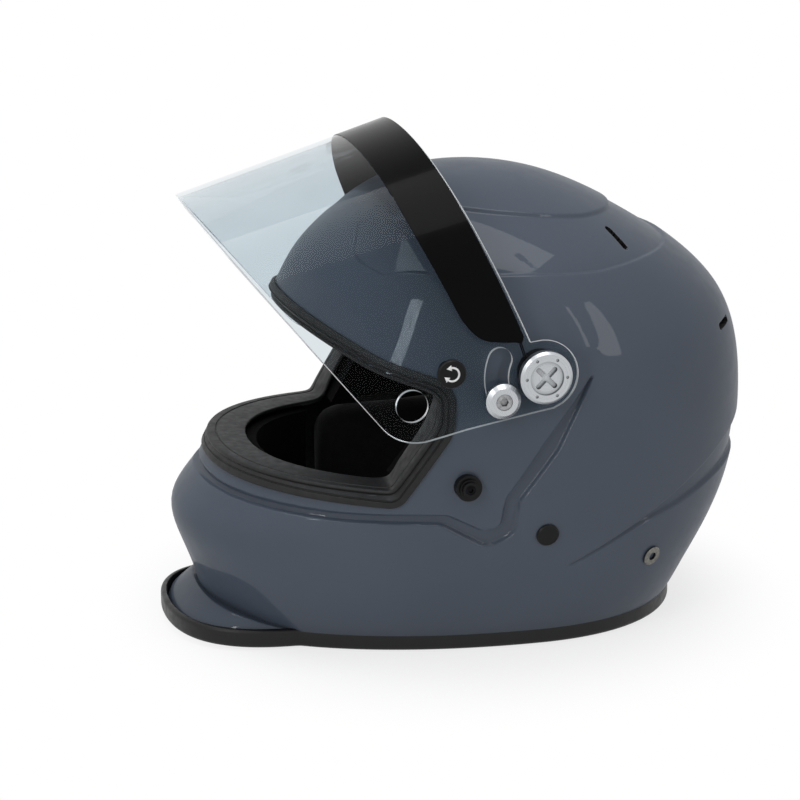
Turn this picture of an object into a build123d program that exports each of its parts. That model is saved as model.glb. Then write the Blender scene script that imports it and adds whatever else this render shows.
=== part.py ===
"""Full-face auto racing helmet with a flip-up shield.

The helmet stands on its rim on the plane z = 0. It faces -X and its left side is -Y.
The shield is drawn raised, and swings down about the axis through the two side pivots.
"""

import os
from bisect import bisect
from math import cos, hypot, radians, sin

from build123d import *

os.makedirs("parts", exist_ok=True)

# General sizes, in millimetres and degrees
overrun = 12.0  # how far cutting tools run past what they cut
running_gap = 0.3  # gap between neighbouring pieces that are not bonded
seat_gap = 0.2  # gap under what is scribed to the shell's curved skin
shaft_gap = 0.1  # gap around a pin or a stud

# Moulded form: the outside of the shell
shell_height = 268.5
front_reach = 168.0  # from the frame's middle to the chin
rear_reach = 175.5  # from the frame's middle to the back
half_width = 124.0
shell_wall = 4.0

# Levels of the form. Height is a share of shell_height, front of front_reach, rear and widest
# place of rear_reach, side of half_width. The last two say how full the front and rear curves
# are: a quarter of an ellipse has 0.552.
form_shares = [
    # height, front, rear, side, widest, front fullness, rear fullness
    (0.000, 0.893, 0.732, 0.714, 0.182, 0.552, 0.584),
    (0.037, 0.905, 0.763, 0.778, 0.171, 0.568, 0.598),
    (0.112, 0.934, 0.820, 0.855, 0.160, 0.613, 0.613),
    (0.194, 0.982, 0.895, 0.911, 0.148, 0.639, 0.598),
    (0.272, 1.000, 0.952, 0.948, 0.137, 0.639, 0.584),
    (0.339, 0.923, 0.980, 0.972, 0.131, 0.626, 0.584),
    (0.413, 0.851, 0.997, 0.992, 0.125, 0.613, 0.584),
    (0.510, 0.780, 1.000, 1.000, 0.137, 0.613, 0.584),
    (0.615, 0.708, 0.980, 0.992, 0.148, 0.598, 0.584),
    (0.715, 0.628, 0.917, 0.944, 0.148, 0.584, 0.584),
    (0.801, 0.554, 0.792, 0.855, 0.137, 0.584, 0.584),
    (0.875, 0.446, 0.627, 0.710, 0.114, 0.584, 0.584),
    (0.931, 0.339, 0.473, 0.540, 0.080, 0.568, 0.568),
    (0.972, 0.220, 0.319, 0.355, 0.051, 0.552, 0.552),
    (0.994, 0.077, 0.165, 0.161, 0.040, 0.552, 0.552),
    (1.000, -0.024, 0.068, 0.024, 0.040, 0.552, 0.552),
]
crown_flat = 3.0  # least reach of the top level, each way

# Chin lip: a flared apron in front of the chin, ending in a ridge with a ledge behind it
lip_centre = 118.0  # ahead of the frame's middle
lip_reach = 56.0
lip_half_width = 62.0
lip_tail = 98.0  # how far the lip's plan runs back inside the chin
lip_height = 26.0
lip_fullness = 0.665
lip_tail_fullness = 0.552
lip_shares = [
    # height, reach, half width
    (-0.15, 1.000, 1.000),
    (0.15, 1.000, 1.000),
    (0.46, 0.938, 0.968),
    (0.69, 0.813, 0.895),
    (1.00, 0.625, 0.774),
]
lip_hollow_reach = 41.0  # open space up inside the lip
lip_hollow_half_width = 50.0
lip_hollow_height = 11.0
ledge_shares = [(-1.30, 1.59), (-0.40, -0.15)]  # of front_reach and lip_height

# Lower edge: the front of the rim is lifted a little off the ground
rim_lift = 3.2
rim_lift_from_share = 0.625
rim_edge_height = 2.0  # the shell's edge above the bottom of its trim

# Eyeport outline, on the outside of its rubber seal, seen from the side
eyeport_shares = [
    (-1.131, 0.912),
    (-0.381, 0.663),
    (-0.161, 0.620),
    (-0.170, 0.519),
    (-0.348, 0.354),
    (-1.131, 0.388),
]
eyeport_round_shares = [0.01, 0.36, 0.085, 0.15, 0.065, 0.01]  # of front_reach
seal_flange = 5.0  # how far the seal laps over the shell round the opening
seal_proud = 2.2
seal_web = 4.0
seal_depth = 24.0  # how far the seal's sill reaches inwards

# Channel moulded under the eyeport and up to the pivot, seen from the side
channel_depth = 2.4
channel_shares = [
    (0.298, 0.637),
    (0.173, 0.471),
    (0.048, 0.359),
    (0.039, 0.287),
    (-0.048, 0.255),
    (-0.214, 0.317),
    (-0.536, 0.324),
    (-1.110, 0.352),
    (-1.110, 0.364),
    (-0.536, 0.341),
    (-0.196, 0.337),
    (-0.071, 0.296),
    (-0.012, 0.304),
    (0.003, 0.369),
    (0.131, 0.492),
]
channel_round_shares = [
    0.003, 0.0, 0.05, 0.06, 0.07, 0.09, 0.2, 0.0, 0.0, 0.2, 0.06, 0.04, 0.03, 0.05, 0.0
]

# Recess round the crown, seen from the side
crown_recess_depth = 1.4
crown_shares = [
    (-0.423, 0.844),
    (-0.345, 0.823),
    (-0.274, 0.834),
    (0.351, 0.824),
    (0.548, 0.832),
    (0.860, 0.836),
    (0.860, 0.885),
    (0.583, 0.907),
    (0.357, 0.915),
    (0.167, 0.929),
    (-0.083, 0.946),
    (-0.369, 0.905),
]
crown_round_shares = [0.03, 0.02, 0.1, 0.3, 0.3, 0.0, 0.0, 0.3, 0.3, 0.3, 0.3, 0.05]

# Gutter above the line round the back, seen from the side
gutter_depth = 1.6
gutter_shares = [
    (0.232, 0.197),
    (0.327, 0.223),
    (0.500, 0.274),
    (0.619, 0.294),
    (0.786, 0.328),
    (1.071, 0.372),
    (1.071, 0.480),
    (0.827, 0.400),
    (0.732, 0.365),
    (0.601, 0.318),
    (0.411, 0.255),
]
gutter_round_shares = [0.0, 0.3, 0.3, 0.3, 0.3, 0.0, 0.0, 0.3, 0.3, 0.3, 0.3]

# Air vents: the middle of each slot and the way it runs, seen from the side
vent_length = 20.0
vent_width = 3.4
vent_depth = 9.0
top_vent_shares = (0.470, 0.879)
top_vent_lean = -87.0  # degrees from level, seen square to the skin
rear_vent_shares = (0.895, 0.660)
rear_vent_lean = -12.0

# Rubber trim on the lower edge
trim_height = 11.0
trim_proud = 2.5
trim_inside = 2.5

# Shield: a bent sheet, drawn raised by shield_rise
pivot_back = 19.0  # the pivot axis, behind the frame's middle
pivot_height = 172.0
shield_rise = 17.5
shield_travel = 48.0
shield_half_width = 127.6  # inside the sheet
shield_crown = 128.2  # from the pivot axis to the front of the sheet, inside
shield_wall = 2.6
shield_fullness = 0.64
shield_skirt = 34.0  # how far the flat sides run below the pivot axis
ear_radius = 20.0
shield_edge_shares = [
    # along the sheet and up from the pivot, as shares of shield_crown
    (-0.113, 1.17),
    (-0.008, 0.148),
    (0.0, -0.156),
    (-0.390, -0.105),
    (-0.690, -0.082),
    (-1.205, 1.17),
]
shield_edge_round_shares = [0.0, 0.03, 0.02, 0.15, 0.16, 0.0]

# Sun strip: a film along the top of the shield
strip_wall = 0.4
strip_shares = [
    (-0.113, 1.17),
    (-0.030, 0.170),
    (-0.110, 0.195),
    (-0.215, 0.240),
    (-0.262, 0.340),
    (-0.310, 0.700),
    (-0.345, 1.17),
]
strip_round_shares = [0.0, 0.015, 0.1, 0.1, 0.2, 0.5, 0.0]
strip_inset = 0.6  # from the shield's top edge

# Pivot hardware
base_radius = 13.0
base_gap = 0.8  # under the sheet, whose sides lean in a little above the pivot
shoulder_radius = 7.0
cap_radius = 15.0
cap_height = 5.6
cap_bevel = 1.4
cap_dish_radius = 9.6
cap_dish_depth = 1.2
cap_cross_length = 16.0
cap_cross_width = 3.0
cap_cross_depth = 1.6
cap_dimples = 6
cap_dimple_radius = 0.9
cap_dimple_depth = 0.7
cap_stud_radius = 3.0
cap_stud_length = 11.0

# Stop post: a stepped collar in the shield's curved slot
slot_radius = 27.0
slot_width = 13.6
slot_sweep = 51.0
stop_clearance = 1.0  # degrees between the post and each end of the slot's travel
stop_angle = 207.0  # round the pivot, from the back
stop_stem_radius = 6.0
stop_collar_radius = 10.0
stop_collar_height = 4.4
stop_cone_drop = 2.2
stop_bore_radius = 4.7
stop_bore_depth = 2.6
screw_head_radius = 4.5
screw_head_height = 2.4
screw_radius = 2.0
screw_length = 13.0
socket_share = 0.55  # of the head's radius, to the socket's corners
socket_depth_share = 0.6  # of the head's height

# Latch: the shield's hole springs over this post when it is shut
latch_radius = 76.0  # from the pivot
latch_hole_angle = 189.3  # round the pivot, with the shield raised
latch_hole_radius = 9.0
latch_base_radius = 7.5
latch_base_height = 3.2
latch_tip_radius = 4.4
latch_shoulder_radius = 5.6
latch_shoulder_height = 1.6
latch_top = 127.2  # its tip, from the middle
latch_screw_head_radius = 2.8
latch_screw_head_height = 1.6
latch_screw_radius = 1.5
latch_screw_length = 7.0

# Tear-off posts on the shield
tearoff_shares = (-0.386, 0.170)  # along the sheet and up from the pivot, of shield_crown
tearoff_radius = 8.0
tearoff_height = 4.6
tearoff_head = 2.6  # thickness of the head above the waist
tearoff_bevel = 0.6
tearoff_waist_radius = 5.6
tearoff_stem_radius = 3.0
tearoff_lip_radius = 4.2
tearoff_lip_height = 0.8
tearoff_nut_radius = 5.5
tearoff_nut_height = 2.8  # its top is scribed to the sheet

# Side plug over the strap's fixing, and the strap's fixing
plug_shares = (0.146, 0.279)
plug_radius = 6.6
plug_dome = 1.4
fixing_hole_radius = 4.2
rivet_radius = 3.0
rivet_head_radius = 6.0
rivet_head_height = 1.4

# Threaded inserts for a neck restraint's tethers
anchor_shares = (0.541, 0.184)
anchor_flange_radius = 6.0
anchor_flange_height = 1.2
anchor_body_radius = 4.6
anchor_length = 12.0
anchor_thread_radius = 2.5

# Liners
liner_gap = 0.5
crown_foam = 30.0
chin_foam = 22.0
comfort_foam = 8.0
crown_liner_bottom = 106.0
rear_liner_bottom = 62.0
rear_liner_from = 63.0
chin_liner_bottom = 27.0
chin_liner_back = -73.0
comfort_bottom = 128.0
pad_gap = 6.5  # between the shell's inside and the cheek pads, where the strap passes
pad_front = -70.0
pad_back = 60.0
pad_bottom = 34.0
pad_top = 103.0
pad_inner = 71.0  # inner faces of the pads, from the middle
pad_round = 18.0
pad_crown = 14.0  # how far the inner face draws in at its edges
pad_crown_shares = [(0.0, 1.0), (0.12, 0.28), (0.35, 0.0), (1.0, 0.0)]
roll_front = 64.0
roll_bottom = 14.0
roll_top = 38.0
roll_inset = 4.6
roll_wall = 17.0

# Chin strap and its rings
webbing_width = 25.0
webbing_wall = 2.0
strap_seat = 2.2  # between the shell's inside and the webbing
strap_top = 86.0
strap_level = 30.0
strap_inner = 62.0  # the rings' bars, from the middle
strap_bend = 9.0
fold_drop = 21.0
fold_return = 15.0
fold_pitch = 6.0
fold_bend = 2.9
ring_wire_radius = 1.6
ring_half_width = 15.0  # to the middle of the wire
ring_drop = 20.0
ring_pitch = 6.0
ring_corner = 13.0
ring_flat_share = 0.8  # half the flat part's thickness, as a share of the bar's radius
loop_clearance = 0.4
snap_radius = 6.0
snap_height = 3.0


def side_point(shares):
    """A place on the middle plane, from shares of the front or rear reach and of the height."""
    along, up = shares
    reach = front_reach if along < 0 else rear_reach
    return along * reach, up * shell_height


def inset_profile(heights, reaches, depths):
    """A profile's levels after each point moves inwards, square to the profile's slope."""
    moved = []
    for i, depth in enumerate(depths):
        low, high = max(i - 1, 0), min(i + 1, len(heights) - 1)
        rise, run = heights[high] - heights[low], reaches[high] - reaches[low]
        length = hypot(rise, run)
        moved.append((heights[i] + depth * run / length, reaches[i] - depth * rise / length))
    return moved


def reach_at(profile, height):
    """The reach of a profile at a height, on a smooth curve through its levels."""
    heights = [point[0] for point in profile]
    i = min(max(bisect(heights, height), 1), len(profile) - 1)
    (low, a), (high, b) = profile[i - 1], profile[i]
    before, after = profile[max(i - 2, 0)], profile[min(i + 1, len(profile) - 1)]
    slope_a = (b - before[1]) / (high - before[0])
    slope_b = (after[1] - a) / (after[0] - low)
    step, t = high - low, (height - low) / (high - low)
    if t < 0:
        return a + slope_a * (height - low)
    rise = 3 * t**2 - 2 * t**3
    return a + (b - a) * rise + step * (slope_a * (t - 2 * t**2 + t**3) + slope_b * (t**3 - t**2))


def form_levels(inset=0.0):
    """Height, front, rear, half width, widest place and fullnesses of each level, moved inwards."""
    heights = [row[0] * shell_height for row in form_shares]
    depths = [inset] * len(heights)
    front, rear, side = (
        inset_profile(heights, [row[k] * size for row in form_shares], depths)
        for k, size in ((1, front_reach), (2, rear_reach), (3, half_width))
    )
    levels = []
    for row in form_shares:
        height, widest = row[0] * (shell_height - inset), row[4] * rear_reach
        levels.append((
            height,
            max(reach_at(front, height), crown_flat - widest),
            max(reach_at(rear, height), crown_flat + widest),
            max(reach_at(side, height), crown_flat),
            widest,
            row[5],
            row[6],
        ))
    return levels


def level_face(height, front, rear, side, widest, front_fullness, rear_fullness):
    """Sketch one level: four quarter curves that meet square at the front, back and sides."""
    quarters = [
        (-front - widest, side, front_fullness),
        (rear - widest, side, rear_fullness),
        (rear - widest, -side, rear_fullness),
        (-front - widest, -side, front_fullness),
    ]
    with BuildSketch(Plane.XY.offset(height)) as face:
        with BuildLine():
            for reach, width, fullness in quarters:
                Bezier(
                    (widest, width),
                    (widest + fullness * reach, width),
                    (widest + reach, fullness * width),
                    (widest + reach, 0),
                )
        make_face()
    return face.sketch


def form_solid(inset=0.0, below=0.0, ruled=False):
    """The moulded form, moved inwards all over, with its bottom carried down by below."""
    levels = form_levels(inset)
    if below:
        levels.insert(0, (-below, *levels[0][1:]))
    with BuildPart() as form:
        for level in levels:
            add(level_face(*level))
        loft(ruled=ruled)
    return form.part


def hidden_form(inset, below=0.0):
    """The form for a surface that is out of sight: straight from each level to the next."""
    return form_solid(inset, below=below, ruled=True)


def lip_solid(inset=0.0):
    """The chin lip under its ridge, moved inwards all over."""
    ledge = [(x * front_reach, z * lip_height - inset) for x, z in ledge_shares]
    high = 3 * lip_height
    with BuildPart() as lip:
        for up, out, wide in lip_shares:
            reach, width = out * lip_reach - inset, wide * lip_half_width - inset
            add(level_face(up * lip_height, lip_centre + reach, lip_tail - lip_centre, width,
                           -lip_centre, lip_fullness, lip_tail_fullness))
        loft()
        with BuildSketch(Plane.XZ):
            with BuildLine():
                Polyline(*ledge, (ledge[1][0], high), (ledge[0][0], high), close=True)
            make_face()
        extrude(amount=half_width, both=True, mode=Mode.SUBTRACT)
    return lip.part


def side_prism(points, rounds, grow=0.0):
    """A block right across the helmet whose outline is seen from the side."""
    with BuildPart() as prism:
        with BuildSketch(Plane.XZ):
            with BuildLine():
                FilletPolyline(*points, radius=rounds, close=True)
            make_face()
            if grow:
                offset(amount=grow, kind=Kind.INTERSECTION)
        extrude(amount=half_width + overrun, both=True)
    return prism.part


def share_prism(shares, round_shares, grow=0.0):
    """A block right across the helmet, from an outline and corner radii given as shares."""
    rounds = [share * front_reach for share in round_shares]
    return side_prism([side_point(point) for point in shares], rounds, grow)


def side_box(low_x, high_x, low_z, high_z):
    """A plain block right across the helmet between two planes each way."""
    return side_prism(
        [(low_x, low_z), (high_x, low_z), (high_x, high_z), (low_x, high_z)], 0.0
    )


def on_skin(shares, side=-1):
    """A plane lying on the outside of the form, on the left side unless side is 1."""
    x, z = side_point(shares)
    hits = form.shell().find_intersection_points(Axis((x, 0, z), (0, side, 0)))
    point, normal = max(hits, key=lambda hit: side * hit[0].Y)
    return Plane(origin=point, x_dir=(side * normal.Y, -side * normal.X, 0), z_dir=normal)


def pivot_plane(height):
    """A plane square to the pivot axis on the left side, height from the middle, facing out."""
    return Plane(origin=(pivot_back, -height, pivot_height), x_dir=(1, 0, 0), z_dir=(0, -1, 0))


def round_pivot(radius, angle):
    """A place on the pivot's planes, at a radius and at an angle from the back."""
    return radius * cos(radians(angle)), radius * sin(radians(angle))


def side_reach(inset, height):
    """The form's half width at a height, moved inwards square to the skin."""
    heights = [row[0] * shell_height for row in form_shares]
    widths = [row[3] * half_width for row in form_shares]
    return reach_at(inset_profile(heights, widths, [inset] * len(heights)), height)


form = form_solid()
shell_inside = hidden_form(shell_wall, below=overrun)
eyeport = share_prism(eyeport_shares, eyeport_round_shares, -seal_flange)
pivot = (pivot_back, 0, pivot_height)
stop_place = round_pivot(slot_radius, stop_angle)
latch_place = round_pivot(latch_radius, latch_hole_angle + shield_travel)
sheet_out = shield_half_width + shield_wall
rim_line = [
    (-front_reach * rim_lift_from_share, 0),
    (-front_reach - overrun, rim_lift),
]


def under_rim(height):
    """Everything under a line that follows the rim at a height, seen from the side."""
    far, low = rear_reach + overrun, -2 * overrun
    (back_x, back_z), (front_x, front_z) = rim_line
    return side_prism([
        (far, height), (back_x, back_z + height), (front_x - overrun, front_z + height),
        (front_x - overrun, low), (far, low),
    ], 0.0)


# Shell: one moulded wall with the eyeport, the channel, the crown recess, the gutter round the
# back, the air vents and the holes for what is fixed to it
with BuildPart() as outer_shell:
    add(form)
    add(lip_solid())
    add(shell_inside, mode=Mode.SUBTRACT)
    add(level_face(-overrun, lip_centre + lip_hollow_reach, lip_tail - lip_centre,
                   lip_hollow_half_width, -lip_centre, lip_fullness, lip_tail_fullness))
    extrude(amount=overrun + lip_hollow_height, mode=Mode.SUBTRACT)
    add(eyeport, mode=Mode.SUBTRACT)
    for shares, round_shares, depth in (
        (channel_shares, channel_round_shares, channel_depth),
        (crown_shares, crown_round_shares, crown_recess_depth),
        (gutter_shares, gutter_round_shares, gutter_depth),
    ):
        band = share_prism(shares, round_shares) - form_solid(depth)
        add(band, mode=Mode.SUBTRACT)
    add(under_rim(rim_edge_height), mode=Mode.SUBTRACT)
    for side in (-1, 1):
        for shares, lean in (
            (top_vent_shares, top_vent_lean),
            (rear_vent_shares, rear_vent_lean),
        ):
            skin = on_skin(shares, side)
            with BuildSketch(skin):
                SlotOverall(vent_length, vent_width, rotation=-side * lean)
            extrude(amount=vent_depth, both=True, mode=Mode.SUBTRACT)
        with Locations(on_skin(plug_shares, side)):
            Hole(fixing_hole_radius, depth=overrun)
        with Locations(on_skin(anchor_shares, side)):
            Hole(anchor_body_radius + shaft_gap, depth=overrun)
    for place, radius in (
        ((0, 0), cap_stud_radius),
        (stop_place, screw_radius),
        (latch_place, latch_screw_radius),
    ):
        with BuildSketch(pivot_plane(0)):
            with Locations(place):
                Circle(radius + shaft_gap)
        extrude(amount=half_width + overrun, both=True, mode=Mode.SUBTRACT)
outer_shell.part.label = "outer_shell"
export_step(outer_shell.part, "parts/outer_shell.step")


# Trim: a rubber section pushed over the shell's lower edge
with BuildPart() as bottom_trim:
    add(form_solid(-trim_proud))
    add(lip_solid(-trim_proud))
    add(under_rim(trim_height), mode=Mode.INTERSECT)
    add(under_rim(0), mode=Mode.SUBTRACT)
    add(hidden_form(shell_wall + trim_inside, below=overrun), mode=Mode.SUBTRACT)
    add(level_face(-overrun, lip_centre + lip_hollow_reach - trim_inside, lip_tail - lip_centre,
                   lip_hollow_half_width - trim_inside, -lip_centre, lip_fullness,
                   lip_tail_fullness))
    extrude(amount=overrun + lip_hollow_height, mode=Mode.SUBTRACT)
    add(outer_shell.part, mode=Mode.SUBTRACT)
bottom_trim.part.label = "bottom_trim"
export_step(bottom_trim.part, "parts/bottom_trim.step")

# Seal round the eyeport: a flange outside the shell and a web that runs inwards as the sill
seat = form_solid(-seat_gap)
seal_outside = form_solid(-seal_proud)
seal_web_out = seal_flange + running_gap
with BuildPart() as eyeport_gasket:
    add(share_prism(eyeport_shares, eyeport_round_shares))
    add(share_prism(eyeport_shares, eyeport_round_shares, -seal_web_out), mode=Mode.SUBTRACT)
    add(seal_outside, mode=Mode.INTERSECT)
    add(seat, mode=Mode.SUBTRACT)
    web = share_prism(eyeport_shares, eyeport_round_shares, -seal_web_out)
    web = web - share_prism(eyeport_shares, eyeport_round_shares, -seal_web_out - seal_web)
    add((web & seal_outside) - hidden_form(seal_depth))
eyeport_gasket.part.label = "eyeport_gasket"
export_step(eyeport_gasket.part, "parts/eyeport_gasket.step")

# Crown liner: energy-absorbing foam over the head and down the back
with BuildPart() as impact_liner:
    add(hidden_form(shell_wall + liner_gap))
    add(hidden_form(shell_wall + liner_gap + crown_foam), mode=Mode.SUBTRACT)
    add(eyeport, mode=Mode.SUBTRACT)
    add(side_box(-front_reach - overrun, rear_liner_from, -overrun, crown_liner_bottom),
        mode=Mode.SUBTRACT)
    add(side_box(0, rear_reach + overrun, -overrun, rear_liner_bottom), mode=Mode.SUBTRACT)
impact_liner.part.label = "impact_liner"
export_step(impact_liner.part, "parts/impact_liner.step")

# Chin liner: foam inside the chin bar
with BuildPart() as chin_bar_liner:
    add(hidden_form(shell_wall + liner_gap))
    add(side_box(-front_reach - overrun, chin_liner_back, chin_liner_bottom, crown_liner_bottom),
        mode=Mode.INTERSECT)
    add(hidden_form(shell_wall + liner_gap + chin_foam), mode=Mode.SUBTRACT)
    add(eyeport, mode=Mode.SUBTRACT)
chin_bar_liner.part.label = "chin_bar_liner"
export_step(chin_bar_liner.part, "parts/chin_bar_liner.step")

# Comfort liner: cloth-covered padding inside the crown liner
with BuildPart() as comfort_liner:
    comfort_inset = shell_wall + crown_foam + 2 * liner_gap
    add(hidden_form(comfort_inset))
    add(hidden_form(comfort_inset + comfort_foam), mode=Mode.SUBTRACT)
    add(eyeport, mode=Mode.SUBTRACT)
    add(side_box(-front_reach, rear_reach, -overrun, comfort_bottom), mode=Mode.SUBTRACT)
comfort_liner.part.label = "comfort_liner"
export_step(comfort_liner.part, "parts/comfort_liner.step")

# Cheek pad: a cushion with a crowned inner face, its outer face following the shell
pad_length, pad_rise = pad_back - pad_front, pad_top - pad_bottom
pad_depth = half_width - pad_inner
with BuildPart() as cheek_pad:
    for share, drawn in pad_crown_shares:
        pad_level = Plane(
            origin=((pad_front + pad_back) / 2, -pad_inner - share * pad_depth,
                    (pad_bottom + pad_top) / 2),
            x_dir=(1, 0, 0), z_dir=(0, -1, 0),
        )
        with BuildSketch(pad_level):
            RectangleRounded(pad_length - drawn * pad_crown, pad_rise - drawn * pad_crown,
                             pad_round - drawn * pad_crown / 2)
    loft(ruled=True)
    add(hidden_form(shell_wall + pad_gap), mode=Mode.INTERSECT)

# Neck roll: padding round the back of the neck opening
with BuildPart() as neck_roll:
    add(hidden_form(roll_inset))
    add(hidden_form(roll_inset + roll_wall), mode=Mode.SUBTRACT)
    add(side_box(roll_front, rear_reach, roll_bottom, roll_top), mode=Mode.INTERSECT)
neck_roll.part.label = "neck_roll"
export_step(neck_roll.part, "parts/neck_roll.step")

# Strap: each half hangs from a rivet between the shell and the cheek pad and turns inwards
strap_x, strap_z = side_point(plug_shares)
strap_inset = shell_wall + strap_seat + webbing_wall / 2
strap_heights = [strap_top, (strap_top + strap_level) / 2]
strap_down = [(side_reach(strap_inset, height), height) for height in strap_heights]
strap_corner = (side_reach(strap_inset, strap_level), strap_level)
rivet_skin = on_skin(plug_shares)
ring_bars = [-strap_inner - ring_pitch / 2, -strap_inner + ring_pitch / 2]
with BuildPart() as chin_strap_left:
    with BuildSketch(Plane.YZ.offset(strap_x)) as strap_side:
        with BuildLine():
            FilletPolyline(*((-out, up) for out, up in (*strap_down, strap_corner)),
                           (ring_bars[0] - 2 * ring_wire_radius, strap_level), radius=strap_bend)
        trace(line_width=webbing_wall)
        with Locations((-strap_inner, strap_level)):
            loop_bore = 2 * (ring_wire_radius + loop_clearance)
            SlotCenterToCenter(ring_pitch, loop_bore + 2 * webbing_wall)
            SlotCenterToCenter(ring_pitch, loop_bore, mode=Mode.SUBTRACT)
    extrude(amount=webbing_width / 2, both=True)
    with Locations(rivet_skin):
        Hole(rivet_radius + shaft_gap, depth=2 * overrun)
chin_strap_left.part.label = "chin_strap_left"
export_step(chin_strap_left.part, "parts/chin_strap_left.step")

with BuildPart() as chin_strap_right:
    fold_low = strap_level - fold_drop
    folds = [
        (strap_inner - ring_pitch / 2, strap_level),
        (strap_inner - ring_pitch / 2, fold_low),
        (strap_inner - ring_pitch / 2 + fold_pitch, fold_low),
        (strap_inner - ring_pitch / 2 + fold_pitch, fold_low + fold_return),
        (strap_inner - ring_pitch / 2 + 2 * fold_pitch, fold_low + fold_return),
        (strap_inner - ring_pitch / 2 + 2 * fold_pitch, fold_low),
    ]
    with BuildSketch(Plane.YZ.offset(strap_x)):
        with BuildLine():
            FilletPolyline(*strap_down, strap_corner, *folds,
                           radius=[strap_bend] * 2 + [fold_bend] * 5)
        trace(line_width=webbing_wall)
    extrude(amount=webbing_width / 2, both=True)
    with Locations(on_skin(plug_shares, 1)):
        Hole(rivet_radius + shaft_gap, depth=2 * overrun)
chin_strap_right.part.label = "chin_strap_right"
export_step(chin_strap_right.part, "parts/chin_strap_right.step")

# Snap: a press stud on the folded end of the strap
with BuildPart() as strap_snap:
    snap_face = strap_inner - ring_pitch / 2 - webbing_wall / 2
    with BuildSketch(Plane(origin=(strap_x, snap_face, fold_low + 2 * fold_pitch),
                           z_dir=(0, -1, 0))):
        Circle(snap_radius)
    extrude(amount=snap_height)
    chamfer(strap_snap.faces().sort_by(Axis.Y)[0].edges(), length=snap_height / 3)
strap_snap.part.label = "strap_snap"
export_step(strap_snap.part, "parts/strap_snap.step")

# Rivets: one through each half of the strap and the shell, with its head on the strap
with BuildPart() as strap_rivets:
    rivet_seat = -(strap_inset + webbing_wall / 2 + 2 * seat_gap)
    with BuildSketch(rivet_skin.offset(rivet_seat - rivet_head_height)):
        Circle(rivet_head_radius)
    extrude(amount=rivet_head_height)
    with BuildSketch(rivet_skin.offset(rivet_seat)):
        Circle(rivet_radius)
    extrude(amount=-rivet_seat - shell_wall / 2 - running_gap)
    mirror(about=Plane.XZ)
strap_rivets.part.label = "strap_rivets"
export_step(strap_rivets.part, "parts/strap_rivets.step")


def d_ring(bar):
    """A flat ring with a round bar across its top, which hangs from a place across the helmet."""
    hang = Plane(origin=(strap_x, bar, strap_level), x_dir=(1, 0, 0), z_dir=(0, -1, 0))
    inside, outside = ring_half_width - ring_wire_radius, ring_half_width + ring_wire_radius
    with BuildPart() as ring:
        with BuildSketch(hang):
            for half, low, round_low, mode in (
                (outside, ring_drop + ring_wire_radius, ring_corner, Mode.ADD),
                (inside, ring_drop - ring_wire_radius, ring_corner - 2 * ring_wire_radius,
                 Mode.SUBTRACT),
            ):
                with BuildLine():
                    FilletPolyline((-half, 0), (-half, -low), (half, -low), (half, 0), close=True,
                                   radius=[0, round_low, round_low, 0])
                make_face(mode=mode)
        extrude(amount=ring_wire_radius * ring_flat_share, both=True)
        with BuildSketch(Plane(origin=(strap_x, bar, strap_level), z_dir=(1, 0, 0))):
            Circle(ring_wire_radius)
        extrude(amount=outside, both=True)
    return ring.part


# Rings at the end of the left strap, each hanging from its own bar
for label, bar in (("d_ring_outer", ring_bars[0]), ("d_ring_inner", ring_bars[1])):
    with BuildPart() as hanging_ring:
        add(d_ring(bar))
    hanging_ring.part.label = label
    export_step(hanging_ring.part, f"parts/{label}.step")

# Side plug: closes the hole over the strap's rivet
with BuildPart() as side_plug:
    plug_low = rivet_skin.offset(running_gap)
    with BuildSketch(plug_low):
        Circle(plug_radius)
    extrude(amount=plug_dome)
    chamfer(side_plug.faces().sort_by(Axis.Y)[0].edges(), length=plug_dome / 2)
    with BuildSketch(plug_low):
        Circle(fixing_hole_radius - shaft_gap)
    extrude(amount=-shell_wall / 2)

# Threaded insert in the lower side of the shell
anchor_skin = on_skin(anchor_shares)
with BuildPart() as anchor_insert:
    with BuildSketch(anchor_skin.offset(running_gap)):
        Circle(anchor_flange_radius)
    extrude(amount=anchor_flange_height)
    chamfer(anchor_insert.faces().sort_by(Axis.Y)[0].edges(), length=anchor_flange_height / 3)
    with BuildSketch(anchor_skin.offset(running_gap)):
        Circle(anchor_body_radius)
    extrude(amount=anchor_flange_height - anchor_length)
    with BuildSketch(anchor_skin.offset(running_gap + anchor_flange_height)):
        Circle(anchor_thread_radius)
    extrude(amount=-anchor_length, mode=Mode.SUBTRACT)

# Pivot base: a disc scribed to the skin with a shoulder that the shield turns on
shoulder_top = sheet_out + running_gap - shaft_gap
with BuildPart() as pivot_base:
    with BuildSketch(pivot_plane(half_width - overrun)):
        Circle(base_radius)
    extrude(amount=shield_half_width - base_gap - half_width + overrun)
    with BuildSketch(pivot_plane(shield_half_width - base_gap)):
        Circle(shoulder_radius)
    extrude(amount=shoulder_top - shield_half_width + base_gap)
    add(seat, mode=Mode.SUBTRACT)
    with Locations(pivot_plane(shoulder_top)):
        Hole(cap_stud_radius + shaft_gap, depth=overrun)

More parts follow.
